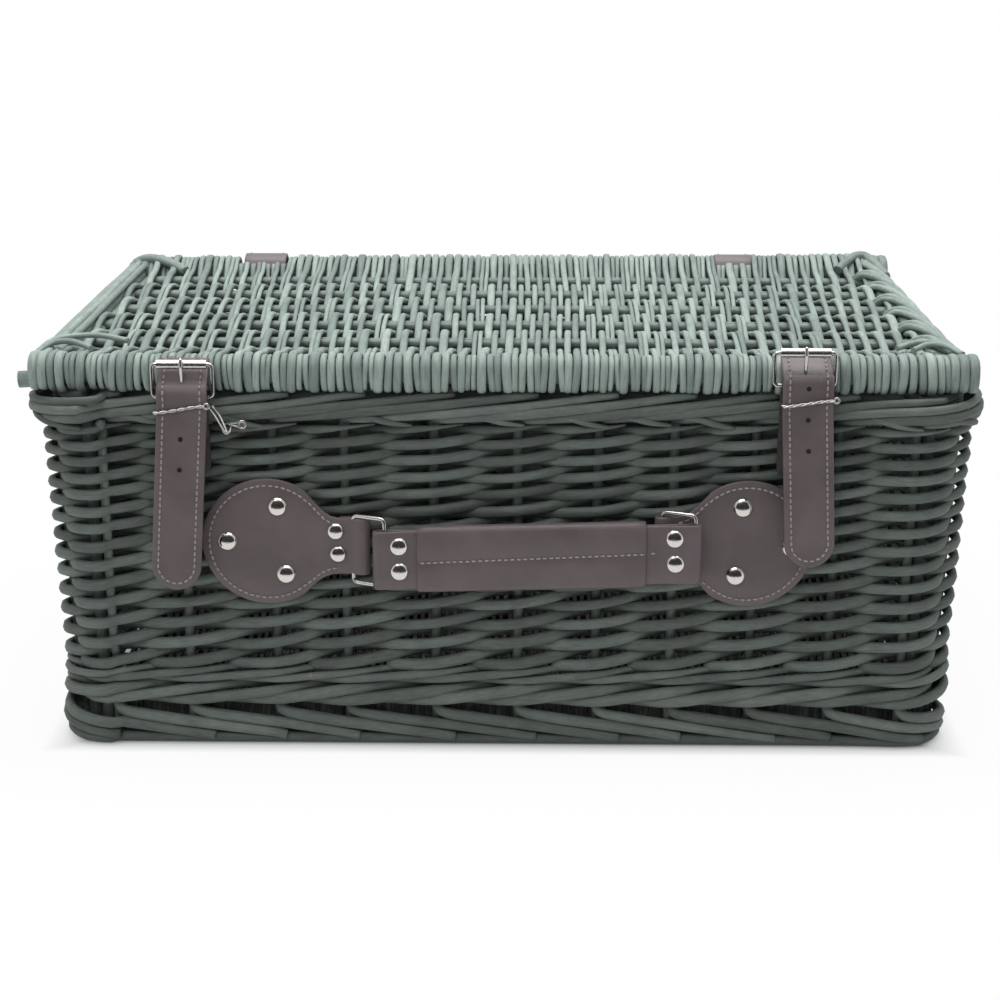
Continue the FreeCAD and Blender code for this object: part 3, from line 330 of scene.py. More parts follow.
def top_border_rods():
    """Each stake's top is laid down to the right, outside its neighbours, and tucked under."""
    outer, inner = Batch(), Batch()
    for stake in range(STAKES):
        rng = random.Random(700 + stake)
        size = rng.uniform(0.9, 1.08)
        lift = rng.uniform(-0.5, 0.5)
        knots = [(stake, 0.0, 166.0), (stake + 0.02, 0.6, 169.4), (stake + 0.25, 4.2, 171.4 + lift),
                 (stake + 1, 7.0, 173.9 + lift), (stake + 2, 7.2, 177.6 + lift),
                 (stake + 2.9, 5.6, 181.6), (stake + 3.25, 3.0, 182.2)]
        wall_rod(outer, knots, (2.3 * size, 2.3 * size, 1.6), (2.5 * size, 2.75 * size, 1.7), rng.random(),
                 bulge=BORDER_BULGE)
        knots = [(stake + 0.1, -2.0, 170.6), (stake + 0.6, -5.0, 172.2), (stake + 1, -5.6, 173.8),
                 (stake + 2, -5.2, 179.4), (stake + 2.8, -3.0, 183.0)]
        wall_rod(inner, knots, (2.0, 2.2, 1.8), (2.4, 2.8, 2.2), rng.random())
        if rng.random() < 0.8:
            at = stake + rng.uniform(0.1, 0.5)
            drop = rng.uniform(2.6, 4.2)
            knots = [(at, 5.8, 172.6), (at + 0.2, 6.9, 171.4), (at + 0.42, 6.6, 171.4 - drop * 0.7),
                     (at + 0.62, 4.4, 170.8 - drop)]
            wall_rod(outer, knots, (1.5, 1.7, 0.9), (1.6, 1.9, 0.8), rng.random(), bulge=BORDER_BULGE)
    return outer, inner


POST_SHIFTS, POST_IN, POST_HALF = (-0.32, 0.0, 0.32), -4.4, 3.5
GROUND_ROD, GROUND_ROD_OUT = 2.9, 3.2


def foot_rods():
    """Each stake's foot is bent to the right and runs down to the rod on the ground. The posts
    inside the corners are part of the same batch."""
    batch = Batch()
    for stake in range(STAKES):
        rng = random.Random(900 + stake)
        size = rng.uniform(0.92, 1.06)
        length = rng.uniform(-0.12, 0.2)
        knots = [(stake, 0.0, 25.0), (stake + 0.01, 0.8, 20.2), (stake + 0.10, 3.2, 16.6),
                 (stake + 0.5, 4.8, 14.2), (stake + 1.2, 5.2, 10.4), (stake + 1.9, 5.0, 6.4),
                 (stake + 2.15 + length, 4.8, 4.4 - 2 * length)]
        wall_rod(batch, knots, (2.6 * size,), (3.0 * size, 3.1 * size, 2.7 * size), rng.random(),
                 bulge=FOOT_BULGE)
    for corner in CORNER_COUNTS:
        for shift in POST_SHIFTS:
            rng = random.Random(int(10 * (corner + shift)))
            z = np.linspace(5.0, 172.0, 16)
            u = corner + shift + wobble(z / 50.0, rng, 0.02)
            points, out = wall_points(u, POST_IN + 2.4 * abs(shift), z)
            batch.rod(points, out, POST_HALF, POST_HALF, 0.2)
    u = np.linspace(0, STAKES, 12 * STAKES + 1)
    points, out = wall_points(u, GROUND_ROD_OUT + FOOT_BULGE * corner_bulge(u), GROUND_ROD)
    batch.rod(points, out, GROUND_ROD, GROUND_ROD, 0.1, sides=10, closed=True)
    return batch


# ---------------------------------------------------------------- the two mats
def rail_turn(wrap, start, end):
    """Points (backwards, up) round a rail, from one angle to another, with a squared-off outline."""
    step = 15 if end > start else -15
    turn = np.radians(np.arange(start, end + step / 2, step))
    return wrap * squared(np.stack([np.cos(turn), np.sin(turn)], axis=1), SQUARING)


UNDER_WRAP = 1.14                # how much lower a weaver hangs under the front rail
SHORT_END = (-10.8, 8.2)         # where a weaver without a back wrap ends, from the back rail


def mat_line(rail_y, level, wraps, stops, back_wrap):
    """Side view of one weaver: round the front rail, over and under the sticks, round the back rail."""
    front, back = wraps
    turn = rail_turn(front, 300, 90)
    turn[:, 1] *= np.where(turn[:, 1] < 0, UNDER_WRAP, 1.0)
    line = (turn + (-rail_y, level)).tolist()
    marks = [(-rail_y, front)] + stops
    marks += [(rail_y, back) if back_wrap else (rail_y + SHORT_END[0], SHORT_END[1])]
    for (y0, z0), (y1, z1) in zip(marks, marks[1:]):
        for t in np.arange(1, 7) / 6:
            ease = (1 - math.cos(math.pi * t)) / 2
            line.append((y0 + (y1 - y0) * t, level + z0 + (z1 - z0) * ease))
    line.pop()
    if back_wrap:
        line += (rail_turn(back, 90, -120) + (rail_y, level)).tolist()
    return np.array(line)


def lean(x, y, half):
    """Neighbouring weavers lean to the side together."""
    share = np.clip(y / half, -1, 1)
    return 1.6 * np.sin(x / 34.0 + 0.8) * np.cos(share * 1.5) + 0.9 * np.sin(x / 15.0) * np.sin(share * 3.1)


def mat_weavers(limits, rail_y, rail_r, level, sticks, lift, kinds, gaps, seed, extra=0.0, windows=()):
    """Weavers side by side along X that go over and under by turns. Kinds are (chance, least and
    most width, pieces that run together). In the windows they stop short of the leather at the
    back; elsewhere extra is how much wider they wrap the back rail."""
    batch, rng = Batch(), random.Random(seed)
    x, turn = limits[0], 0
    while x < limits[1]:
        pick = rng.random()
        for chance, least, most, pieces in kinds:
            if pick < chance:
                break
            pick -= chance
        for piece in range(pieces):
            width = rng.uniform(least, most)
            thick = min(1.75, 0.42 * width)
            middle = x + width / 2
            open_back = any(low < middle < high for low, high in windows)
            wrap = rail_r + thick + 0.15
            wraps = (wrap, wrap + extra + 0.005 * middle)
            stops = [(y, (lift + rng.uniform(-0.3, 0.5)) * (1 if (index + turn) % 2 == 0 else -1))
                     for index, y in enumerate(sticks)]
            line = mat_line(rail_y, level, wraps, stops, not open_back)
            share = np.linspace(0, 6.28, len(line))
            inner = np.clip((rail_y + 2 - np.abs(line[:, 0])) / 12.0, 0, 1)
            slant = rng.uniform(-0.8, 0.8) * np.clip((level + 4 - line[:, 1]) / 8.0, 0, 1.6) * (1 - inner)
            bend = lean(middle, line[:, 0], rail_y) + wobble(share * 1.6, rng, 0.4)
            across = middle + slant + bend * inner
            half_width = width / 2 * (1.0 - 0.06 * inner + wobble(share * 2.0, rng, 0.05))
            points = np.stack([across, line[:, 0], line[:, 1]], axis=1)
            batch.rod(points, ACROSS, half_width, thick, rng.random(), power=SQUARING)
            x += width + (0.0 if piece < pieces - 1 else rng.uniform(*gaps))
        turn += 1
    return batch


LID_KINDS = ((0.22, 4.2, 5.2, 1), (0.58, 3.1, 3.9, 1), (0.20, 2.5, 2.9, 2))
BASE_KINDS = ((0.6, 2.6, 3.4, 1), (0.4, 2.2, 2.7, 1))
HINGE_WINDOWS = ((-165.5, -136.0), (123.5, 148.5))
LID_STICKS = [-114.5 + 45.8 * i for i in range(6)]
BASE_STICKS = [-93.3 + 37.32 * i for i in range(6)]
END_WRAPS = ((-229.2, 2.3), (-224.9, 2.4), (218.0, 2.2), (222.5, 2.5), (227.3, 2.5))  # place, half width
RAIL_STUB = ((-224.0, -140.7, 190.0), (-237.4, -141.2, 189.2))                        # at the left front


def lid_weavers():
    """The lid's weavers, the wraps at the ends of its rails, and the front rail's left end."""
    weavers = mat_weavers((-222.5, 215.5), LID_RAIL_Y, LID_RAIL_R, LID_Z, LID_STICKS, 4.0, LID_KINDS,
                          (0.05, 0.45), 11, extra=2.4, windows=HINGE_WINDOWS)
    for x, half in END_WRAPS:
        for rail, wrap in ((-LID_RAIL_Y, 7.9), (LID_RAIL_Y, 9.4 + 0.004 * x)):
            turn = np.linspace(0, FULL_TURN, 25)
            points = np.stack([np.full_like(turn, x), rail + wrap * squared(np.cos(turn), SQUARING),
                               LID_Z + wrap * squared(np.sin(turn), SQUARING)], axis=1)
            weavers.rod(points, ACROSS, half, 1.7, 0.2 + half % 0.5, closed=True, power=SQUARING)
    weavers.rod(RAIL_STUB, UP, 4.2, 4.2, 0.0, sides=12)
    return weavers


RIB_REACH, RIB_APART, RIB_R = 219.0, 2.1, 2.0


def lid_ribs():
    """The lid's sticks, each a pair of rods, in the darkest tint as painted shade between the weavers."""
    ribs = Batch()
    for index, y in enumerate(LID_STICKS):
        for side in (-1, 1):
            rng = random.Random(40 + 2 * index + side)
            x = np.linspace(-RIB_REACH, RIB_REACH, 60)
            points = np.stack([x, y + side * RIB_APART + wobble(x / 60, rng, 0.4),
                               LID_Z - 0.3 + wobble(x / 45, rng, 0.35)], axis=1)
            # tints below 0 all take the ramp's darkest colour: painted shade between the weavers
            ribs.rod(points, UP, RIB_R, RIB_R, -0.6 + 0.5 * rng.random())
    return ribs


# rods laid round the lid's corners: radius, tint and the places that each passes
CORNER_RODS = (
    (1.7, 0.6, ((-231.5, -130, 196.5), (-230, -119, 200.5), (-226, -109, 202.6), (-216, -104, 203.4),
                (-204, -103, 203.4), (-190, -106, 201.4))),
    (1.7, 0.4, ((-231.5, -140, 196.0), (-229.5, -131, 201.0), (-224, -122, 203.6), (-214, -124, 204.6),
                (-203, -132, 203.0))),
    (1.7, 0.5, ((194, -119, 201.6), (204, -113, 203.2), (213, -115, 203.8), (220, -124, 203.2),
                (225.5, -135, 199.5))),
    (1.6, 0.7, ((200, -130, 203.0), (208, -124, 204.6), (216, -127, 204.8), (223, -137, 202.6))),
    (3.2, 0.15, ((198, 122, 199.5), (204, 129, 203.0), (210, 136, 205.5), (217, 138, 205.2),
                 (222.5, 128, 201.5), (226, 114, 197.0))),
    (3.4, 0.2, ((-233, 132, 196.0), (-231, 137, 200.0), (-224, 136, 202.8), (-214, 131, 202.6),
                (-205, 125, 200.5), (-198, 120, 198.0))))
# rods laid straight along the lid's ends: place, height, radius and tint
END_RODS = (
    (-229.4, 198.2, 2.4, 0.4), (-225.6, 199.8, 2.1, 0.7), (-222.0, 199.0, 2.0, 0.3),
    (-230.0, 194.0, 2.6, 0.2), (-224.0, 194.0, 3.4, 0.1), (-225.5, 189.5, 3.4, 0.1),
    (-219.0, 191.0, 3.0, 0.1), (220.6, 194.6, 3.4, 0.1), (215.5, 195.0, 3.2, 0.1),
    (220.0, 189.0, 3.2, 0.1), (213.0, 190.0, 3.0, 0.1))
SLANTS, SLANT_PITCH, END_REACH = 7, 39.0, 136.0


def lid_side_rods():
    """Rods along the two ends of the lid: laid straight at both, and slanting over them at the right."""
    batch = Batch()
    for x, z, radius, tint in END_RODS:
        rng = random.Random(int(7 * x + z))
        y = np.linspace(-END_REACH, END_REACH, 24)
        reach = x + (-0.013 * (y + 130) if x < 0 else 0.0) + wobble(y / 60, rng, 0.35)
        points = np.stack([reach, y, z + wobble(y / 50, rng, 0.4)], axis=1)
        batch.rod(points, UP, radius, radius, tint)
    for index in range(SLANTS):
        for part in range(2):
            rng = random.Random(60 + 2 * index + part)
            y = -104.5 + SLANT_PITCH * index + part * 6.0
            size = rng.uniform(0.92, 1.06)
            knots = [(208.5, y + 24, 194.5), (211.5, y + 16, 198.8), (215.0, y + 2, 200.8 + part),
                     (219.4, y - 18, 201.0), (223.0, y - 40, 199.6 - part), (225.2, y - 60, 196.0 - part)]
            knots = [(x, min(max(along, -END_REACH - 1.0), END_REACH), z) for x, along, z in knots]
            batch.rod(smooth(knots), (0.3, 0.0, 0.95), 1.9 * size, 2.3 * size, 0.3 + 0.6 * rng.random())
    for radius, tint, knots in CORNER_RODS:
        batch.rod(smooth(knots), (0.0, 0.25, 0.97), radius * 0.86, radius, tint)
    return batch


def base_weavers():
    return mat_weavers((-211.0, 210.0), BASE_RAIL_Y, BASE_RAIL_R, BASE_Z, BASE_STICKS, 4.6, BASE_KINDS,
                       (-0.7, -0.4), 23)


# ---------------------------------------------------------------- leather bands and stitches
THREAD_SLOT, HOLE_SLOT = 1, 2
STITCH_PITCH, STITCH_LENGTH, STITCH_WIDTH = 3.1, 2.232, 0.5
EDGE_INSET = 3.4                 # stitches from the edge of the leather
HOLE_R = 1.2


def rounded_section(half_width, half_thick):
    """Closed outline (across, thickness) of a flat band with rounded edges."""
    radius = half_thick * 0.8
    flat = half_width - radius
    points = []
    for side in (1, -1):
        points += [(side * (2 * flat * i / 5 - flat), side * half_thick) for i in range(6)]
        points += [(side * (flat + radius * math.cos(angle)), side * half_thick * math.sin(angle))
                   for angle in np.radians((50, 0, -50))]
    return np.array(points)


def band(batch, centre, across, out, half_widths, half_thick, crown=0.0):
    """A leather band along centre, with its width along across and its thickness along out."""
    rings = []
    for point, side, normal, half in zip(centre, across, out, half_widths):
        half = max(half, 0.4)
        section = rounded_section(half, half_thick)
        lift = crown * (1 - (section[:, 0] / half) ** 2)
        rings.append(point + np.outer(section[:, 0], side) + np.outer(section[:, 1] + lift, normal))
    batch.add(np.array(rings)[:, ::-1], 0.5)


def stitch_line(batch, points, outs):
    """Raised thread stitches along a line of points that lie on a surface."""
    points, outs = np.asarray(points, float), np.broadcast_to(outs, (len(points), 3))
    steps = running_length(points)
    count = max(1, int(steps[-1] / STITCH_PITCH))
    shape = ((-0.5, -0.1, 0.45), (-0.3, 0.22, 1.0), (0.3, 0.22, 1.0), (0.5, -0.1, 0.45))
    widths = np.array([STITCH_WIDTH * share for _, _, share in shape])

    def value(rows, at):
        return np.array([np.interp(at, steps, rows[:, axis]) for axis in range(3)])

    for i in range(count):
        at = (i + 0.5) * steps[-1] / count
        middle, ahead = value(points, at), value(points, at + 0.6) - value(points, at - 0.6)
        ahead, out = unit(np.array([ahead, value(outs, at)]))
        line = [middle + ahead * STITCH_LENGTH * along + out * up for along, up, _ in shape]
        batch.rod(line, out, widths * 0.8, widths, 0.5, sides=6, slot=THREAD_SLOT)


def punched_hole(batch, centre):
    """A small flat disc that faces the front, coloured dark as painted shade inside a punched hole."""
    turn = np.arange(12) / 12 * FULL_TURN
    circle = np.column_stack([np.cos(turn), np.zeros(12), np.sin(turn)]) * HOLE_R
    rings = [np.array(centre) + np.multiply(TO_FRONT, lift) + circle for lift in (-0.25, 0.05)]
    batch.add(np.array(rings), 0.5, HOLE_SLOT)


# ---------------------------------------------------------------- closure straps
PAD_OUT = 10.6                   # outside of the strap's bend over the front rail, from the rail's middle
STRAP_Y, STRAP_HALF, STRAP_THICK = -158.86, 12.3, 1.0
STRAP_FACE = STRAP_THICK + 0.1
TAIL_TURN = 180.3                # height where the hanging end starts to lean
HEEL_LOOP, BUCKLE_RISE = 2.66, 16.0
SPLAY = math.radians(4.2)
HOLE_PITCH = 15.4
# name, middle, middle as drawn, lean, heel bar's height, length below the roller, first hole
# that shows, and drop of the holes below the roller
CLOSURES = (("left", -155.0, -155.0, SPLAY, 184.0, 113.0, 2, 5.2),
            ("right", 144.5, 146.0, -0.7 * SPLAY, 190.8, 106.5, 1, 1.1))


def hanging(x, lean, height):
    """Place on a strap's hanging end, or above it, for a height measured along the strap."""
    below = np.clip(TAIL_TURN - height, 0, None)
    return x - below * math.sin(lean), np.where(below > 0, TAIL_TURN - below * math.cos(lean), height)


def strap_path(x, lean, heel_z, tip_z):
    """Middle line of a closure strap: from the lid, through the buckle, down to its tip."""
    radius = PAD_OUT - 1.0
    centre = np.array([-LID_RAIL_Y, LID_Z])
    hang = np.array([STRAP_Y, heel_z + HEEL_LOOP + 1.0])
    forward, rise = centre[0] - hang[0], hang[1] - centre[1]
    leave = math.atan2(rise, forward) + math.acos(radius / math.hypot(forward, rise))
    line = [(centre[0] - radius * math.cos(angle), centre[1] + radius * math.sin(angle))
            for angle in np.linspace(leave + math.radians(3.0), leave, 4)]
    start = np.array(line[-1])
    line += [tuple(start + (hang - start) * t) for t in (0.3, 0.6, 0.85)]
    line += [(hang[0] - 0.1, hang[1] + 1.4), (STRAP_Y - 0.2, hang[1] - 3.0), (STRAP_Y, hang[1] - 8.0)]
    line += [(STRAP_Y, z) for z in np.arange(line[-1][1] - 4.0, tip_z + 13.0, -3.5)]
    line += [(STRAP_Y, z) for z in np.linspace(tip_z + 12.6, tip_z + 0.15, 12)]
    y, height = np.array(line).T
    x, z = hanging(x, lean, height)
    points = np.stack([x, y, z], axis=1)
    turned = lean * np.clip((TAIL_TURN - height) / 6.0, 0, 1)
    across = np.stack([np.cos(turned), np.zeros_like(turned), -np.sin(turned)], axis=1)
    into_tip = np.clip(tip_z + STRAP_HALF - height, 0, None)
    return points, across, np.sqrt(np.clip(STRAP_HALF ** 2 - into_tip ** 2, 0, None))


def closure_strap(name, joint_x, x, lean, heel_z, strap_reach, first_hole, hole_drop):
    """One band from the lid through the buckle to its tip, and the places of its two tacks."""
    roller_z = heel_z + BUCKLE_RISE
    points, across, half = strap_path(x, lean, heel_z, roller_z - strap_reach)
    ahead = unit(np.gradient(points, axis=0))
    out = unit(np.cross(ahead, across))
    if out[-20][1] > 0:
        out = -out
    batch = Batch()
    band(batch, points, across, out, half, STRAP_THICK, crown=0.25)
    # the seam runs down one edge, round the tip and up the other edge
    inset = half ** 2 - 2 * STRAP_HALF * EDGE_INSET + EDGE_INSET ** 2
    keep = inset > 0.8
    reach = across[keep] * np.sqrt(inset[keep])[:, None]
    face = points[keep] + out[keep] * STRAP_FACE
    tip = points[-1] - ahead[-1] * EDGE_INSET + out[-1] * STRAP_FACE
    stitch_line(batch, np.vstack([face - reach, [tip], (face + reach)[::-1]]),
                np.vstack([out[keep], [out[-1]], out[keep][::-1]]))
    for index in range(first_hole, 4):
        hole_x, hole_z = hanging(x, lean, roller_z - hole_drop - HOLE_PITCH * index)
        punched_hole(batch, (hole_x, STRAP_Y - STRAP_FACE - 0.32, hole_z))
    obj = batch.build("closure_strap_" + name, [LEATHER, THREAD, HOLE_SHADE], "grey_leather")
    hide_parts("strap_head_" + name, "strap_tail_" + name)
    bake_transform(obj)
    return [(points[0] + across[0] * side * 6.3, out[0]) for side in (-1, 1)]


def tack_heads(places):
    """The tack heads that hold the straps to the lid, under the rollers."""
    batch = Batch()
    for place_at, out in places:
        sizes = np.array([1.5, 1.4, 0.9, 0.2])
        batch.rod(place_at + np.outer((0.6, 1.0, 1.2, 1.3), out), ACROSS, sizes, sizes, sides=16)
    return batch


# ---------------------------------------------------------------- wires beside the straps
KEEPER_Y, CHAPE_FRONT, WIRE_WALL = -160.9, -156.6, -150.2
KEEPERS = (("left", -155.4, 177.1, 180.6), ("right", 147.0, 181.6, 184.7))     # name, middle, ends
HOOK_AT, PIN_AT = (-142.4, 180.6), (-127.4, 169.4)
TWIST_R, TWIST_LENGTH = 0.36, 9.0            # of the strands round their middle, and of one turn
TO_BACK, NEARLY_UP = (0.0, 1.0, 0.0), (0.0, 0.3, 1.0)


def twisted_wire(batch, knots):
    """Two strands of wire twisted round a smooth line."""
    line = smooth(knots, 14)
    ahead = unit(np.gradient(line, axis=0))
    side = unit(np.cross(ahead, NEARLY_UP))
    other = np.cross(side, ahead)
    for start in (0.0, math.pi):
        angle = (running_length(line) / TWIST_LENGTH * FULL_TURN + start)[:, None]
        points = line + TWIST_R * (side * np.cos(angle) + other * np.sin(angle))
        batch.rod(points, NEARLY_UP, TWIST_R * 1.2, TWIST_R * 1.2)


def plain_wire(batch, knots, radius):
    batch.rod(smooth(knots), TO_BACK, radius, radius)


def wire_eye(batch, centre, radius, wire):
    """A small ring of wire that faces the front."""
    turn = np.linspace(0, FULL_TURN, 19)
    circle = np.stack([np.cos(turn), np.zeros_like(turn), np.sin(turn)], axis=1)
    batch.rod(centre + radius * circle, TO_BACK, wire, wire, closed=True)


def keeper_wire(x, low, high):
    """A twisted wire across the strap, rising to an eye, with both ends turned in behind it."""
    batch = Batch()
    knots = [(x - 12.0, WIRE_WALL, low - 0.4), (x - 13.6, CHAPE_FRONT, low), (x - 12.6, KEEPER_Y, low + 0.1),
             (x - 6.0, KEEPER_Y, low + (high - low) * 0.25), (x, KEEPER_Y, low + (high - low) * 0.55),
             (x + 6.0, KEEPER_Y, low + (high - low) * 0.85), (x + 11.6, KEEPER_Y, high)]
    twisted_wire(batch, knots)
    wire_eye(batch, (x + 12.4, KEEPER_Y + 0.2, high), 1.3, 0.5)
    twisted_wire(batch, [(x + 13.4, KEEPER_Y + 0.4, high), (x + 13.9, CHAPE_FRONT, high - 0.6),
                         (x + 12.0, WIRE_WALL, high - 1.2)])
    return batch


def keeper_hook(x, top):
    """Two wires from the keeper's eye down to a hook on the wall."""
    batch = Batch()
    for shift in (0.0, 2.4):
        plain_wire(batch, [(x + shift, KEEPER_Y + 1.2, top), (x + shift + 2.4, -155.0, top - 5.5),
                           (x + shift * 0.6 + 5.6, -152.6, top - 12.5), (x + 7.6, -151.6, top - 15.0)], 0.55)
    plain_wire(batch, [(x + 5.4, -152.4, top - 13.0), (x + 7.0, -151.8, top - 15.6),
                       (x + 9.0, -151.2, top - 14.6), (x + 9.4, -149.2, top - 12.2)], 0.6)
    return batch


def split_pin(x, z):
    """A pin with a ring end beside the left strap."""
    batch = Batch()
    wire_eye(batch, (x, -151.4, z), 1.7, 0.75)
    for side in (-1, 1):
        plain_wire(batch, [(x - 1.2, -151.4, z + side * 1.3), (x - 4.0, -151.0, z + side * 0.6),
                           (x - 8.5, -149.6, z)], 0.5)
    return batch


# ---------------------------------------------------------------- handle and its plates
HANDLE_X, HANDLE_Z, LOOP_SPACING = 1.75, 107.6, 152.5
PLATE_OFFSET, PLATE_RISE, PLATE_R, NECK_HALF = 42.6, 1.2, 32.5, 14.6
WALL_FACE, LOOP_Y = -146.0, -149.66
LAYER, WIRE_R = 1.05, 1.1                    # half the leather's thickness, and the ring wire
FOLD_R = WIRE_R + LAYER + 0.05
PLATE_Y = WALL_FACE - 0.3 - LAYER
RING_REACH, RING_REST = 17.5, math.radians(23)
BAR_Y = LOOP_Y - RING_REACH * math.sin(RING_REST)
BAR_SHIFT = RING_REACH * math.cos(RING_REST)
HANDLE_MIDDLE = HANDLE_X + BAR_SHIFT
HANDLE_DROP, HANDLE_SLOPE, HANDLE_HALF = 3.1, 0.027, 15.0
PLATE_Z = HANDLE_Z + PLATE_RISE
DISC_STEPS, NECK_STEPS = 26, 5
PLATES = (("left", -1, 5.4, 107.4), ("right", 1, 0.4, 109.0))   # name, side, neck's end and height
RINGS = (("left", -1, 105.9), ("right", 1, 108.6))              # name, side, middle height
RING_HALF, RING_BEND = 17.2, 2.4


def arc(centre_x, centre_y, radius, start, end, steps=9):
    """Points of an arc, from one angle in degrees to another."""
    turn = np.radians(np.linspace(start, end, steps))
    return [(centre_x + radius * math.cos(a), centre_y + radius * math.sin(a)) for a in turn]


def plan_band(batch, plan, heights, half_heights):
    """A leather band that stands on edge along a line in plan."""
    ahead = unit(np.gradient(np.array(plan, float), axis=0))
    out = np.stack([ahead[:, 1], -ahead[:, 0], np.zeros(len(plan))], axis=1)
    band(batch, np.column_stack([plan, heights]), np.broadcast_to(UP, out.shape), out, half_heights, LAYER)


def handle_plate(side, neck_end, neck_z):
    """A round plate whose neck folds round its ring; neck_end is how far past the bar it reaches."""
    batch = Batch()
    centre = LOOP_SPACING / 2 + PLATE_OFFSET
    fold = LOOP_SPACING / 2 - neck_end
    disc = np.radians(np.linspace(2, 125, DISC_STEPS))
    plan = [(centre + PLATE_R * math.cos(turn), PLATE_Y) for turn in disc]
    halves = [PLATE_R * math.sin(turn) for turn in disc]
    heights = [PLATE_Z] * DISC_STEPS
    flare, flat_y, fold_y = centre - PLATE_R - 2.5, PLATE_Y - 2 * LAYER - 0.1, LOOP_Y - FOLD_R
    (disc_end, _), disc_half = plan[-1], halves[-1]
    for share in np.arange(1, NECK_STEPS + 1) / NECK_STEPS:
        rise = (1 - math.cos(math.pi * share)) / 2
        plan.append((disc_end + (flare - disc_end) * share, PLATE_Y + (flat_y - PLATE_Y) * rise))
        halves.append(disc_half + (NECK_HALF - disc_half) * math.sin(share * math.pi / 2))
        heights.append(PLATE_Z + (neck_z - PLATE_Z) * rise)
    back = [(fold + 6.0, flat_y), (fold + 3.4, flat_y + 0.55 * (fold_y - flat_y)), (fold + 1.4, fold_y)]
    back += arc(fold, LOOP_Y, FOLD_R, -90, -270)
    back += [(fold + 6.0, PLATE_Y), (flare - 1.0, PLATE_Y)]
    plan += back
    halves += [NECK_HALF] * len(back)
    heights += [neck_z] * len(back)
    plan = [(HANDLE_X + side * x, y) for x, y in plan]
    plan_band(batch, plan[::-side], heights[::-side], halves[::-side])
    radius = PLATE_R - EDGE_INSET - 0.2
    points = [(HANDLE_X + side * (centre - radius * math.cos(turn)), PLATE_Y - LAYER - 0.05,
               PLATE_Z + radius * math.sin(turn)) for turn in np.radians(np.arange(54, 307, 3.0))]
    for i in range(DISC_STEPS, DISC_STEPS + NECK_STEPS):
        x, y = plan[i]
        inset = halves[i] - EDGE_INSET
        points.insert(0, (x, y - LAYER - 0.05, heights[i] + inset))
        points.append((x, y - LAYER - 0.05, heights[i] - inset))
    stitch_line(batch, points, TO_FRONT)
    return batch


def handle_height(x):
    """Height of the handle's middle, which slopes a little."""
    return HANDLE_Z - HANDLE_DROP + HANDLE_SLOPE * (np.asarray(x, float) - HANDLE_MIDDLE)


def handle_leather():
    """One strap folded round both ring bars, its ends meeting inside the grip."""
    batch = Batch()
    left, right = HANDLE_MIDDLE - LOOP_SPACING / 2 - 2.8, HANDLE_MIDDLE + LOOP_SPACING / 2
    pinch = LAYER + 0.05
    plan = [(12.0, BAR_Y + pinch), (left + 20.0, BAR_Y + pinch), (left + 13.0, BAR_Y + pinch + 0.2),
            (left + 5.0, BAR_Y + FOLD_R - 0.2)]
    plan += arc(left, BAR_Y, FOLD_R, 90, 270)
    plan += [(left + 5.0, BAR_Y - FOLD_R + 0.2), (left + 13.0, BAR_Y - pinch - 0.2),
             (left + 20.0, BAR_Y - pinch), (HANDLE_MIDDLE, BAR_Y - pinch),
             (right - 20.0, BAR_Y - pinch), (right - 13.0, BAR_Y - pinch - 0.2),
             (right - 5.0, BAR_Y - FOLD_R + 0.2)]
    plan += arc(right, BAR_Y, FOLD_R, -90, 90)
    plan += [(right - 5.0, BAR_Y + FOLD_R - 0.2), (right - 13.0, BAR_Y + pinch + 0.2),
             (right - 20.0, BAR_Y + pinch), (16.0, BAR_Y + pinch)]
    xs = np.array([x for x, _ in plan])
    plan_band(batch, plan, handle_height(xs), [HANDLE_HALF] * len(plan))
    return batch


GRIP_X0, GRIP_X1, GRIP_HALF, GRIP_DEEP, GRIP_ROUND = -42.3, 69.9, 17.0, 3.5, 3.0
SEAM_DROP, SEAM_SLOPE = 1.2, 0.02            # the grip's seam below its middle, at the left end


def grip_seam(x):
    return -SEAM_DROP + SEAM_SLOPE * (np.asarray(x, float) - GRIP_X0)


def grip_section(scale, seam):
    """Closed outline (out, up) of the grip, with a groove along its seam."""
    deep, edge = GRIP_DEEP * scale, GRIP_HALF * scale - GRIP_ROUND
    front = [(-deep, -edge), (-deep, seam - 1.1), (-deep + 0.45, seam), (-deep, seam + 1.1), (-deep, edge)]
    upper = [(-deep * math.cos(a), edge + GRIP_ROUND * math.sin(a))
             for a in np.radians((25, 50, 75, 105, 130, 155))]
    lower = [(-x, -z) for x, z in upper]
    return np.array(front + upper + [(deep, edge), (deep, 0.0), (deep, -edge)] + lower)


def grip():
    """The wide sleeve round the handle, closed by a stitched seam on its front."""
    batch = Batch()
    rings = []
    for x, scale in ((GRIP_X0, 0.95), (GRIP_X0 + 0.5, 1.0), *((x, 1.0) for x in np.linspace(-36, 64, 9)),
                     (GRIP_X1 - 0.5, 1.0), (GRIP_X1, 0.95)):
        section = grip_section(scale, grip_seam(x))
        rings.append(np.column_stack([np.full(len(section), x), BAR_Y + section[:, 0],
                                      handle_height(x) + section[:, 1]]))
    batch.add(np.array(rings), 0.5)
    xs = np.linspace(GRIP_X0 + 1.0, GRIP_X1 - 0.5, 8)
    past = np.array([GRIP_X1 + 1.0, GRIP_X1 + 6.0])
    for xs, y in ((xs, BAR_Y - GRIP_DEEP + 0.15), (past, BAR_Y - 2 * LAYER - 0.1)):
        points = np.column_stack([xs, np.full(len(xs), y), handle_height(xs) + grip_seam(xs)])
        stitch_line(batch, points, TO_FRONT)
    return batch


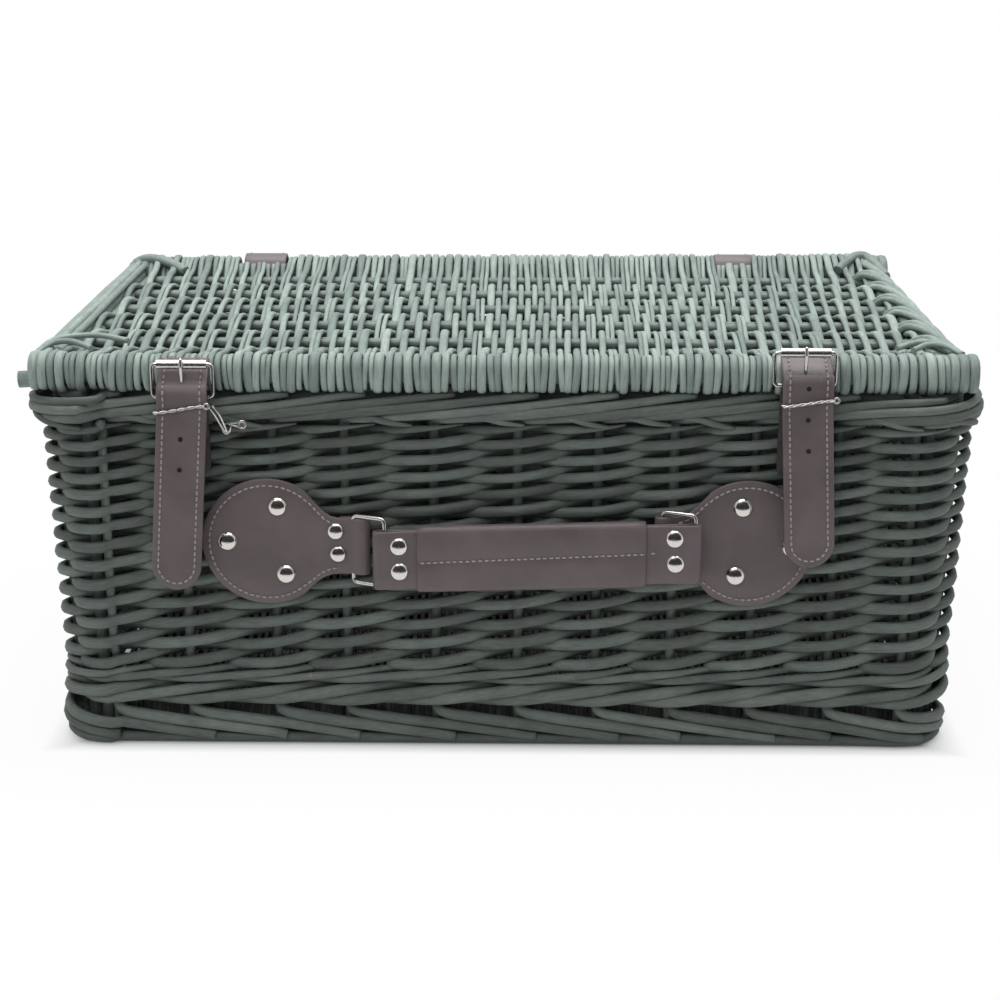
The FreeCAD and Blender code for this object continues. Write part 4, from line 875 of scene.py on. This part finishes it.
def wire_ring(side, middle):
    """A rectangular ring of wire with round corners, standing off the wall."""
    batch = Batch()
    ahead = np.array([math.cos(RING_REST), -math.sin(RING_REST)])
    start = np.array([HANDLE_X + side * LOOP_SPACING / 2, LOOP_Y])
    near, far, low, high = RING_BEND, RING_REACH - RING_BEND, RING_BEND - RING_HALF, RING_HALF - RING_BEND
    line = []
    for reach, height, angle in ((near, low, 180), (far, low, 270), (far, high, 0), (near, high, 90)):
        line += arc(reach, height, RING_BEND, angle, angle + 90, 6)
    line.append(line[0])
    points = np.array([(*(start + ahead * reach), middle + height) for reach, height in line])
    batch.rod(points, (ahead[1], -ahead[0], 0.0), WIRE_R, WIRE_R, sides=10, closed=True)
    return batch


def dome(batch, place_at, out, radius, height):
    """A polished dome on a thin rim."""
    lifts, widths = [0.0, 0.35], [radius, radius]
    for angle in np.radians((0, 18, 36, 54, 70, 84)):
        lifts.append(0.45 + (height - 0.45) * math.sin(angle))
        widths.append(radius * 0.96 * math.cos(angle))
    batch.rod(place_at + np.outer(lifts, out), ACROSS, widths, widths, sides=24)


# places of the rivets along the front: x, z
HANDLE_RIVETS = ((-51.4, 109.7), (-51.2, 96.9), (83.9, 114.4), (84.5, 101.6))
PLATE_RIVETS = ((-111.8, 126.9), (-137.1, 109.0), (-108.4, 92.0),
                (117.7, 127.5), (115.0, 92.3), (142.2, 107.2))
NECK_RIVETS = ((-83.0, 115.0), (-82.0, 103.3), (83.8, 115.2), (84.6, 102.6))


def handle_domes():
    """Two rivets through each end of the handle."""
    batch = Batch()
    for x, z in HANDLE_RIVETS:
        dome(batch, (x, BAR_Y - 2 * LAYER - 0.05, z), TO_FRONT, 4.6, 2.1)
        dome(batch, (x, BAR_Y + 2 * LAYER + 0.05, z), TO_BACK, 3.2, 0.9)
    return batch


def plate_domes():
    """Three big rivets through each plate, with washers inside, and two through each neck. The
    right neck's are flat, because the handle hides them."""
    batch = Batch()
    for x, z in PLATE_RIVETS:
        dome(batch, (x, PLATE_Y - LAYER - 0.05, z), TO_FRONT, 4.8, 2.3)
        batch.rod([(x, PLATE_Y, z), (x, WALL_FACE + 14.6, z)], ACROSS, 1.3, 1.3)
        dome(batch, (x, WALL_FACE + 13.9, z), TO_BACK, 5.5, 0.9)
    for x, z in NECK_RIVETS:
        radius, height = (4.2, 1.9) if x < 0 else (3.0, 0.6)
        dome(batch, (x, PLATE_Y - 3 * LAYER - 0.15, z), TO_FRONT, radius, height)
    return batch


# ---------------------------------------------------------------- hinge straps
HINGES = (("left", -151.0, 12.8, -148.0), ("right", 135.8, 11.4, 140.6))   # over the rail, and on the wall
HINGE_HALF, HINGE_R, HINGE_TAIL = 15.0, 11.2, 123.0


def hinge_strap(rail_x, rail_half, wall_x):
    """Leather over the lid's rear rail and down the back of the basket."""
    batch = Batch()
    line = []
    for degrees in np.linspace(190, -10, 22):
        reach, angle = HINGE_R - 0.07 * max(degrees - 128.0, 0.0), math.radians(degrees)
        line.append((LID_RAIL_Y + reach * math.cos(angle), LID_Z + reach * math.sin(angle)))
    line += [(152.2, 187.0), (152.0, 180.0), (151.6, 172.0), (150.0, 165.0), (148.9, 158.0)]
    line += [(148.7, z) for z in (148.0, 136.0, HINGE_TAIL + 3.0, HINGE_TAIL + 0.8, HINGE_TAIL)]
    line = np.array(line)
    share = np.clip((LID_Z + 6.0 - line[:, 1]) / 40.0, 0, 1) * (line[:, 0] > LID_RAIL_Y)
    centre = np.column_stack([rail_x + (wall_x - rail_x) * share, line])
    across = np.broadcast_to(ACROSS, centre.shape)
    out = unit(np.cross(across, np.gradient(centre, axis=0)))
    out = -out if out[10][2] < 0 else out
    halves = rail_half + (HINGE_HALF - rail_half) * share
    halves[-2:] -= (0.8, 3.0)
    band(batch, centre, across, out, halves, 1.0)
    for side in (-1, 1):
        face = centre + out * 1.05 + across * (side * (halves - 3.0))[:, None]
        stitch_line(batch, face[12:-2], out[12:-2])
    return batch


# ---------------------------------------------------------------- materials
def feed(tree, node, inputs):
    """Give each input its value, or join it to another node's output."""
    for key, value in inputs.items():
        if isinstance(value, bpy.types.NodeSocket):
            tree.links.new(value, node.inputs[key])
        else:
            node.inputs[key].default_value = value


def new_node(tree, kind, inputs=None, **settings):
    node = tree.nodes.new("ShaderNode" + kind)
    for name, value in settings.items():
        setattr(node, name, value)
    feed(tree, node, inputs or {})
    return node


def new_material(name):
    material = bpy.data.materials.new(name)
    material.use_nodes = True
    return material, material.node_tree, material.node_tree.nodes["Principled BSDF"]


def grey(tone):
    return (tone, tone, tone)


def ramp(tree, factor, *stops):
    """Colour that runs through the stops (position, colour)."""
    node = new_node(tree, "ValToRGB", {"Fac": factor})
    elements = node.color_ramp.elements
    while len(elements) < len(stops):
        elements.new(0.5)
    for element, (position, colour) in zip(elements, stops):
        element.position = position
        element.color = (*colour, 1.0)
    return node.outputs["Color"]


def noise(tree, vector, scale, detail=3.0, rough=0.5):
    inputs = {"Vector": vector, "Scale": scale, "Detail": detail, "Roughness": rough}
    return new_node(tree, "TexNoise", inputs).outputs["Fac"]


def object_place(tree):
    return new_node(tree, "TexCoord").outputs["Object"]


def mix_colour(tree, factor, a, b, blend="MIX"):
    """Colours a and b mixed by the factor."""
    inputs = {"Factor": factor, 6: a, 7: b}
    return new_node(tree, "Mix", inputs, data_type="RGBA", blend_type=blend).outputs[2]


def maths(tree, operation, *values):
    return new_node(tree, "Math", dict(enumerate(values)), operation=operation).outputs[0]


def bump(tree, height, strength, distance):
    inputs = {"Height": height, "Strength": strength, "Distance": distance}
    return new_node(tree, "Bump", inputs).outputs["Normal"]


def willow(name, dark, middle, light, bare=0.70):
    """Painted willow: a tint for each rod, streaks along it, worn and bare spots."""
    material, tree, shader = new_material(name)
    tint, grain = (new_node(tree, "Attribute", attribute_name=kind).outputs for kind in ("tint", "grain"))
    here = object_place(tree)
    base = ramp(tree, tint["Fac"], (0.0, dark), (0.5, middle), (1.0, light))
    streak = noise(tree, grain["Vector"], 3.2, 4.0, 0.6)
    streaks = ramp(tree, streak, (0.32, grey(0.72)), (0.62, grey(1.08)))
    patches = ramp(tree, noise(tree, here, 55.0), (0.35, (0.80, 0.79, 0.80)), (0.65, (1.08, 1.09, 1.07)))
    worn = ramp(tree, noise(tree, here, 95.0, 5.0, 0.65), (bare, grey(0.0)), (bare + 0.03, grey(1.0)))
    colour = mix_colour(tree, 0.8, base, streaks, "MULTIPLY")
    colour = mix_colour(tree, 0.7, colour, patches, "MULTIPLY")
    colour = mix_colour(tree, worn, colour, BARE_WOOD)
    relief = maths(tree, "MULTIPLY_ADD", noise(tree, here, 900.0, 2.0), 0.35, streak)
    feed(tree, shader, {"Base Color": colour, "Roughness": 0.62, "Specular IOR Level": 0.35,
                        "Normal": bump(tree, relief, 0.5, 0.0005)})
    return material


def leather(name, dark, light, rough=0.42):
    """Coated leather: fine pebble grain and soft cloudy colour."""
    material, tree, shader = new_material(name)
    here = object_place(tree)
    cloud = noise(tree, here, 38.0, 4.0, 0.6)
    cells = new_node(tree, "TexVoronoi", {"Vector": here, "Scale": 1300.0}).outputs["Distance"]
    feed(tree, shader, {"Base Color": ramp(tree, cloud, (0.35, dark), (0.65, light)),
                        "Roughness": ramp(tree, cloud, (0.3, grey(rough - 0.05)), (0.7, grey(rough + 0.1))),
                        "Specular IOR Level": 0.45, "Normal": bump(tree, cells, 0.22, 0.0003)})
    return material


def metal(name, colour, rough):
    """Plated metal: fine scratches break up the reflection."""
    material, tree, shader = new_material(name)
    scratch = noise(tree, object_place(tree), 700.0, 4.0, 0.7)
    tone = ramp(tree, scratch, (0.3, tuple(c * 0.86 for c in colour)), (0.7, colour))
    dullness = ramp(tree, scratch, (0.3, grey(rough * 0.7)), (0.7, grey(rough * 1.4)))
    feed(tree, shader, {"Base Color": tone, "Roughness": dullness, "Metallic": 1.0})
    return material


def plain(name, dark, light, rough, scale):
    """Thread, and the painted shade inside a hole: a fine two-tone noise."""
    material, tree, shader = new_material(name)
    spots = noise(tree, object_place(tree), scale)
    feed(tree, shader, {"Base Color": ramp(tree, spots, (0.35, dark), (0.65, light)), "Roughness": rough})
    return material


BARE_WOOD = (0.33, 0.22, 0.13, 1.0)
# Same paint as the lid, made darker: painted shade on the walls, which get less of the top light.
SHADED_WALL_WILLOW = willow("wall_willow_painted_shade", (0.095, 0.112, 0.100), (0.135, 0.158, 0.142), (0.175, 0.202, 0.183))
LID_WILLOW = willow("lid_willow", (0.235, 0.287, 0.265), (0.312, 0.380, 0.348), (0.395, 0.470, 0.432),
                    bare=0.73)
# Darker than the lid's paint as painted shade, yet lighter than the walls as painted light bounced from the
# floor.
FOOT_WILLOW_SHADE_AND_BOUNCE = willow("foot_willow_painted_shade_and_bounce", (0.10, 0.115, 0.103), (0.16, 0.188, 0.169), (0.21, 0.24, 0.218),
                     bare=0.74)
# Darkest copy of the paint: painted shade on the base inside the hamper, seen through the gaps.
SHADED_BASE_WILLOW = willow("base_willow_painted_shade", (0.05, 0.055, 0.05), (0.085, 0.095, 0.085), (0.12, 0.13, 0.118),
                     bare=0.76)
LEATHER = leather("strap_leather", (0.1170, 0.0925, 0.0955), (0.1465, 0.1160, 0.1195))
HINGE_LEATHER = leather("hinge_leather", (0.16, 0.135, 0.14), (0.20, 0.17, 0.175), 0.5)
# Leather coloured nearly black: painted shade, so that the chapes read as shadow.
CHAPE_PAINTED_SHADE = leather("chape_leather_painted_shade", (0.05, 0.042, 0.042), (0.07, 0.058, 0.058), 0.55)
NICKEL = metal("nickel_wire", (0.66, 0.64, 0.61), 0.22)
RIVET = metal("bright_rivet", (0.72, 0.69, 0.65), 0.16)
THREAD = plain("thread", (0.27, 0.24, 0.24), (0.40, 0.36, 0.36), 0.7, 1500.0)
# painted shade for the inside of the punched holes
HOLE_SHADE = plain("hole_painted_shade", (0.006, 0.005, 0.005), (0.012, 0.010, 0.010), 0.8, 900.0)


def dress_solids():
    """Give every solid that still shows its own finish."""
    # solids in the painted_willow slot take the wall copy, with its painted shade
    finishes = {"painted_willow": SHADED_WALL_WILLOW, "grey_leather": LEATHER, "nickel_wire": NICKEL,
                "bright_rivet": RIVET}
    # the chapes take leather coloured as painted shade, and the base rails and sticks the base willow with
    # its painted shade
    special = {"chape_left": CHAPE_PAINTED_SHADE, "chape_right": CHAPE_PAINTED_SHADE, "lid_front_rail": LID_WILLOW,
               "lid_rear_rail": LID_WILLOW, "base_rails": SHADED_BASE_WILLOW, "base_sticks": SHADED_BASE_WILLOW}
    slots = {part["node"]: part["material_slot"] for part in frame["record"]["subparts"]}
    for name, obj in frame["nodes"].items():
        material = special.get(name, finishes[slots[name]])
        for slot in obj.material_slots:
            slot.link = "OBJECT"
            slot.material = material


# ---------------------------------------------------------------- the hamper
dress_solids()
WALL_NODES = ("front_weave", "right_weave", "back_weave", "left_weave", "corner_weave")
for number, rods in enumerate(wall_weave()):
    place(rods, "wall_rods_%d" % (number + 1), [SHADED_WALL_WILLOW], BASKET, WALL_NODES)
place(stake_rods(), "stake_rods", [SHADED_WALL_WILLOW], BASKET, ("stakes",))
place(wale_rods(), "wale_rods", [SHADED_WALL_WILLOW], BASKET, ("upsett_wale",))
for where, rods in zip(("outer", "inner"), top_border_rods()):
    place(rods, "border_rods_" + where, [SHADED_WALL_WILLOW], BASKET, ("top_border",))
place(foot_rods(), "foot_rods", [FOOT_WILLOW_SHADE_AND_BOUNCE], BASKET, ("foot_border",))
place(base_weavers(), "base_rods", [SHADED_BASE_WILLOW], BASKET, ("base_weave",))
place(lid_weavers(), "lid_rods", [LID_WILLOW], LID, ("lid_weave",))
place(lid_ribs(), "lid_ribs", [LID_WILLOW], LID, ("lid_sticks",))
place(lid_side_rods(), "lid_side_rods", [LID_WILLOW], LID, ("lid_edge_rods",))
tack_places = [tack for closure in CLOSURES for tack in closure_strap(*closure)]
place(tack_heads(tack_places), "tack_heads", [LEATHER], LID, ("strap_tacks",), "bright_rivet")
for where, *keeper in KEEPERS:
    place(keeper_wire(*keeper), "keeper_wire_" + where, [NICKEL], BASKET, ("keeper_" + where,),
          "nickel_wire")
place(keeper_hook(*HOOK_AT), "keeper_hook", [NICKEL], BASKET, ("keeper_tie",), "nickel_wire")
place(split_pin(*PIN_AT), "split_pin", [NICKEL], BASKET, ("keeper_pin",), "nickel_wire")
for where, *plate in PLATES:
    place(handle_plate(*plate), "plate_" + where, [LEATHER, THREAD], BASKET, ("handle_plate_" + where,),
          "grey_leather")
for where, *ring in RINGS:
    place(wire_ring(*ring), "wire_ring_" + where, [NICKEL], "ring_" + where, ("ring_" + where,),
          "nickel_wire")
place(handle_leather(), "handle_leather", [LEATHER], "handle", ("handle_strap",), "grey_leather")
place(grip(), "grip", [LEATHER, THREAD], "handle", ("grip_sleeve",), "grey_leather")
place(handle_domes(), "handle_domes", [RIVET], "handle", ("handle_rivets",), "bright_rivet")
place(plate_domes(), "plate_domes", [RIVET], BASKET, ("plate_rivets", "neck_rivets"), "bright_rivet")
for where, *hinge in HINGES:
    place(hinge_strap(*hinge), "hinge_leather_" + where, [HINGE_LEATHER, THREAD], BASKET,
          ("hinge_strap_" + where,), "grey_leather")


# ---------------------------------------------------------------- floor, light and camera
def camera_white(tree, kind, plain_output, share):
    """Blend in white for what the camera, reflections and glass see."""
    path = new_node(tree, "LightPath").outputs
    seen = maths(tree, "MAXIMUM", path["Is Camera Ray"], path["Is Glossy Ray"])
    seen = maths(tree, "MAXIMUM", seen, path["Is Transmission Ray"])
    white = new_node(tree, kind, {"Strength": 1.0}).outputs[0]
    weight = maths(tree, "MULTIPLY", seen, share)
    return new_node(tree, "MixShader", {"Fac": weight, 1: plain_output, 2: white}).outputs[0]


def white_world():
    world = bpy.data.worlds.new("studio")
    bpy.context.scene.world = world
    world.use_nodes = True
    tree = world.node_tree
    soft = tree.nodes["Background"]
    feed(tree, soft, {"Color": (0.95, 0.98, 1.0, 1.0), "Strength": 0.26})
    surface = camera_white(tree, "Background", soft.outputs[0], 1.0)
    feed(tree, tree.nodes["World Output"], {"Surface": surface})


FLOOR_REACH, FLOOR_Z = 12.0, -0.0004
HAMPER_REACH = (("X", 0.9), ("Y", 0.6))      # four times the hamper's half length and half depth


def white_away(tree):
    """How white the floor is: not at all under the hamper, nearly all beside it, and all further away."""
    split = new_node(tree, "SeparateXYZ", {0: object_place(tree)}).outputs
    reaches = [maths(tree, "DIVIDE", maths(tree, "ABSOLUTE", split[axis]), reach)
               for axis, reach in HAMPER_REACH]
    furthest = maths(tree, "MAXIMUM", *reaches)
    return ramp(tree, furthest, (0.235, grey(0.0)), (0.262, grey(0.93)), (0.45, grey(1.0)))


def stage_plane(name, corners, tone):
    """A flat dull plane for the stage; also its material's node tree and shader."""
    mesh = bpy.data.meshes.new(name)
    mesh.from_pydata(corners, [], [(0, 1, 2, 3)])
    obj = bpy.data.objects.new(name, mesh)
    bpy.context.collection.objects.link(obj)
    material, tree, shader = new_material(name)
    feed(tree, shader, {"Base Color": (*grey(tone), 1.0), "Roughness": 0.9})
    mesh.materials.append(material)
    return obj, tree, shader


def white_floor():
    corners = [(x * FLOOR_REACH, y * FLOOR_REACH, FLOOR_Z) for x, y in ((-1, -1), (1, -1), (1, 1), (-1, 1))]
    floor, tree, shader = stage_plane("studio_floor", corners, 0.86)
    surface = camera_white(tree, "Emission", shader.outputs[0], white_away(tree))
    feed(tree, tree.nodes["Material Output"], {"Surface": surface})


def reflection_card():
    """A dark card in front of the hamper that only reflections show."""
    corners = [(-0.5, -0.48, 0.0), (0.5, -0.48, 0.0), (0.5, -0.55, 0.6), (-0.5, -0.55, 0.6)]
    card, _, _ = stage_plane("studio_card", corners, 0.03)
    card.visible_camera = card.visible_diffuse = card.visible_shadow = card.visible_transmission = False


def area_light(name, place_at, size, power):
    """A rectangular light aimed at the middle of the hamper."""
    light = bpy.data.lights.new(name, "AREA")
    light.shape = "RECTANGLE"
    light.size, light.size_y = size
    light.energy = power
    obj = bpy.data.objects.new(name, light)
    bpy.context.collection.objects.link(obj)
    obj.location = place_at
    obj.rotation_euler = (LIGHT_TARGET - Vector(place_at)).to_track_quat("-Z", "Y").to_euler()


LIGHT_TARGET = Vector((0.0, 0.0, 0.1))
CAMERA_AT, CAMERA_TILT, CAMERA_TURN = (0.016, -1.129, 0.413), 16.04, 1.04    # metres, degrees
SENSOR_WIDTH, LENS = 36.0, 74.66


def front_camera():
    data = bpy.data.cameras.new("camera")
    data.sensor_width, data.lens = SENSOR_WIDTH, LENS
    camera = bpy.data.objects.new("camera", data)
    bpy.context.collection.objects.link(camera)
    camera.location = CAMERA_AT
    camera.rotation_euler = (math.radians(90 - CAMERA_TILT), 0.0, math.radians(CAMERA_TURN))
    bpy.context.scene.camera = camera


white_world()
white_floor()
area_light("top_light", (0.0, 0.10, 1.5), (1.4, 1.0), 23.0)
area_light("front_light", (-0.5, -1.4, 1.5), (1.2, 0.9), 9.0)
reflection_card()
front_camera()
bpy.context.scene.view_settings.view_transform = "Standard"
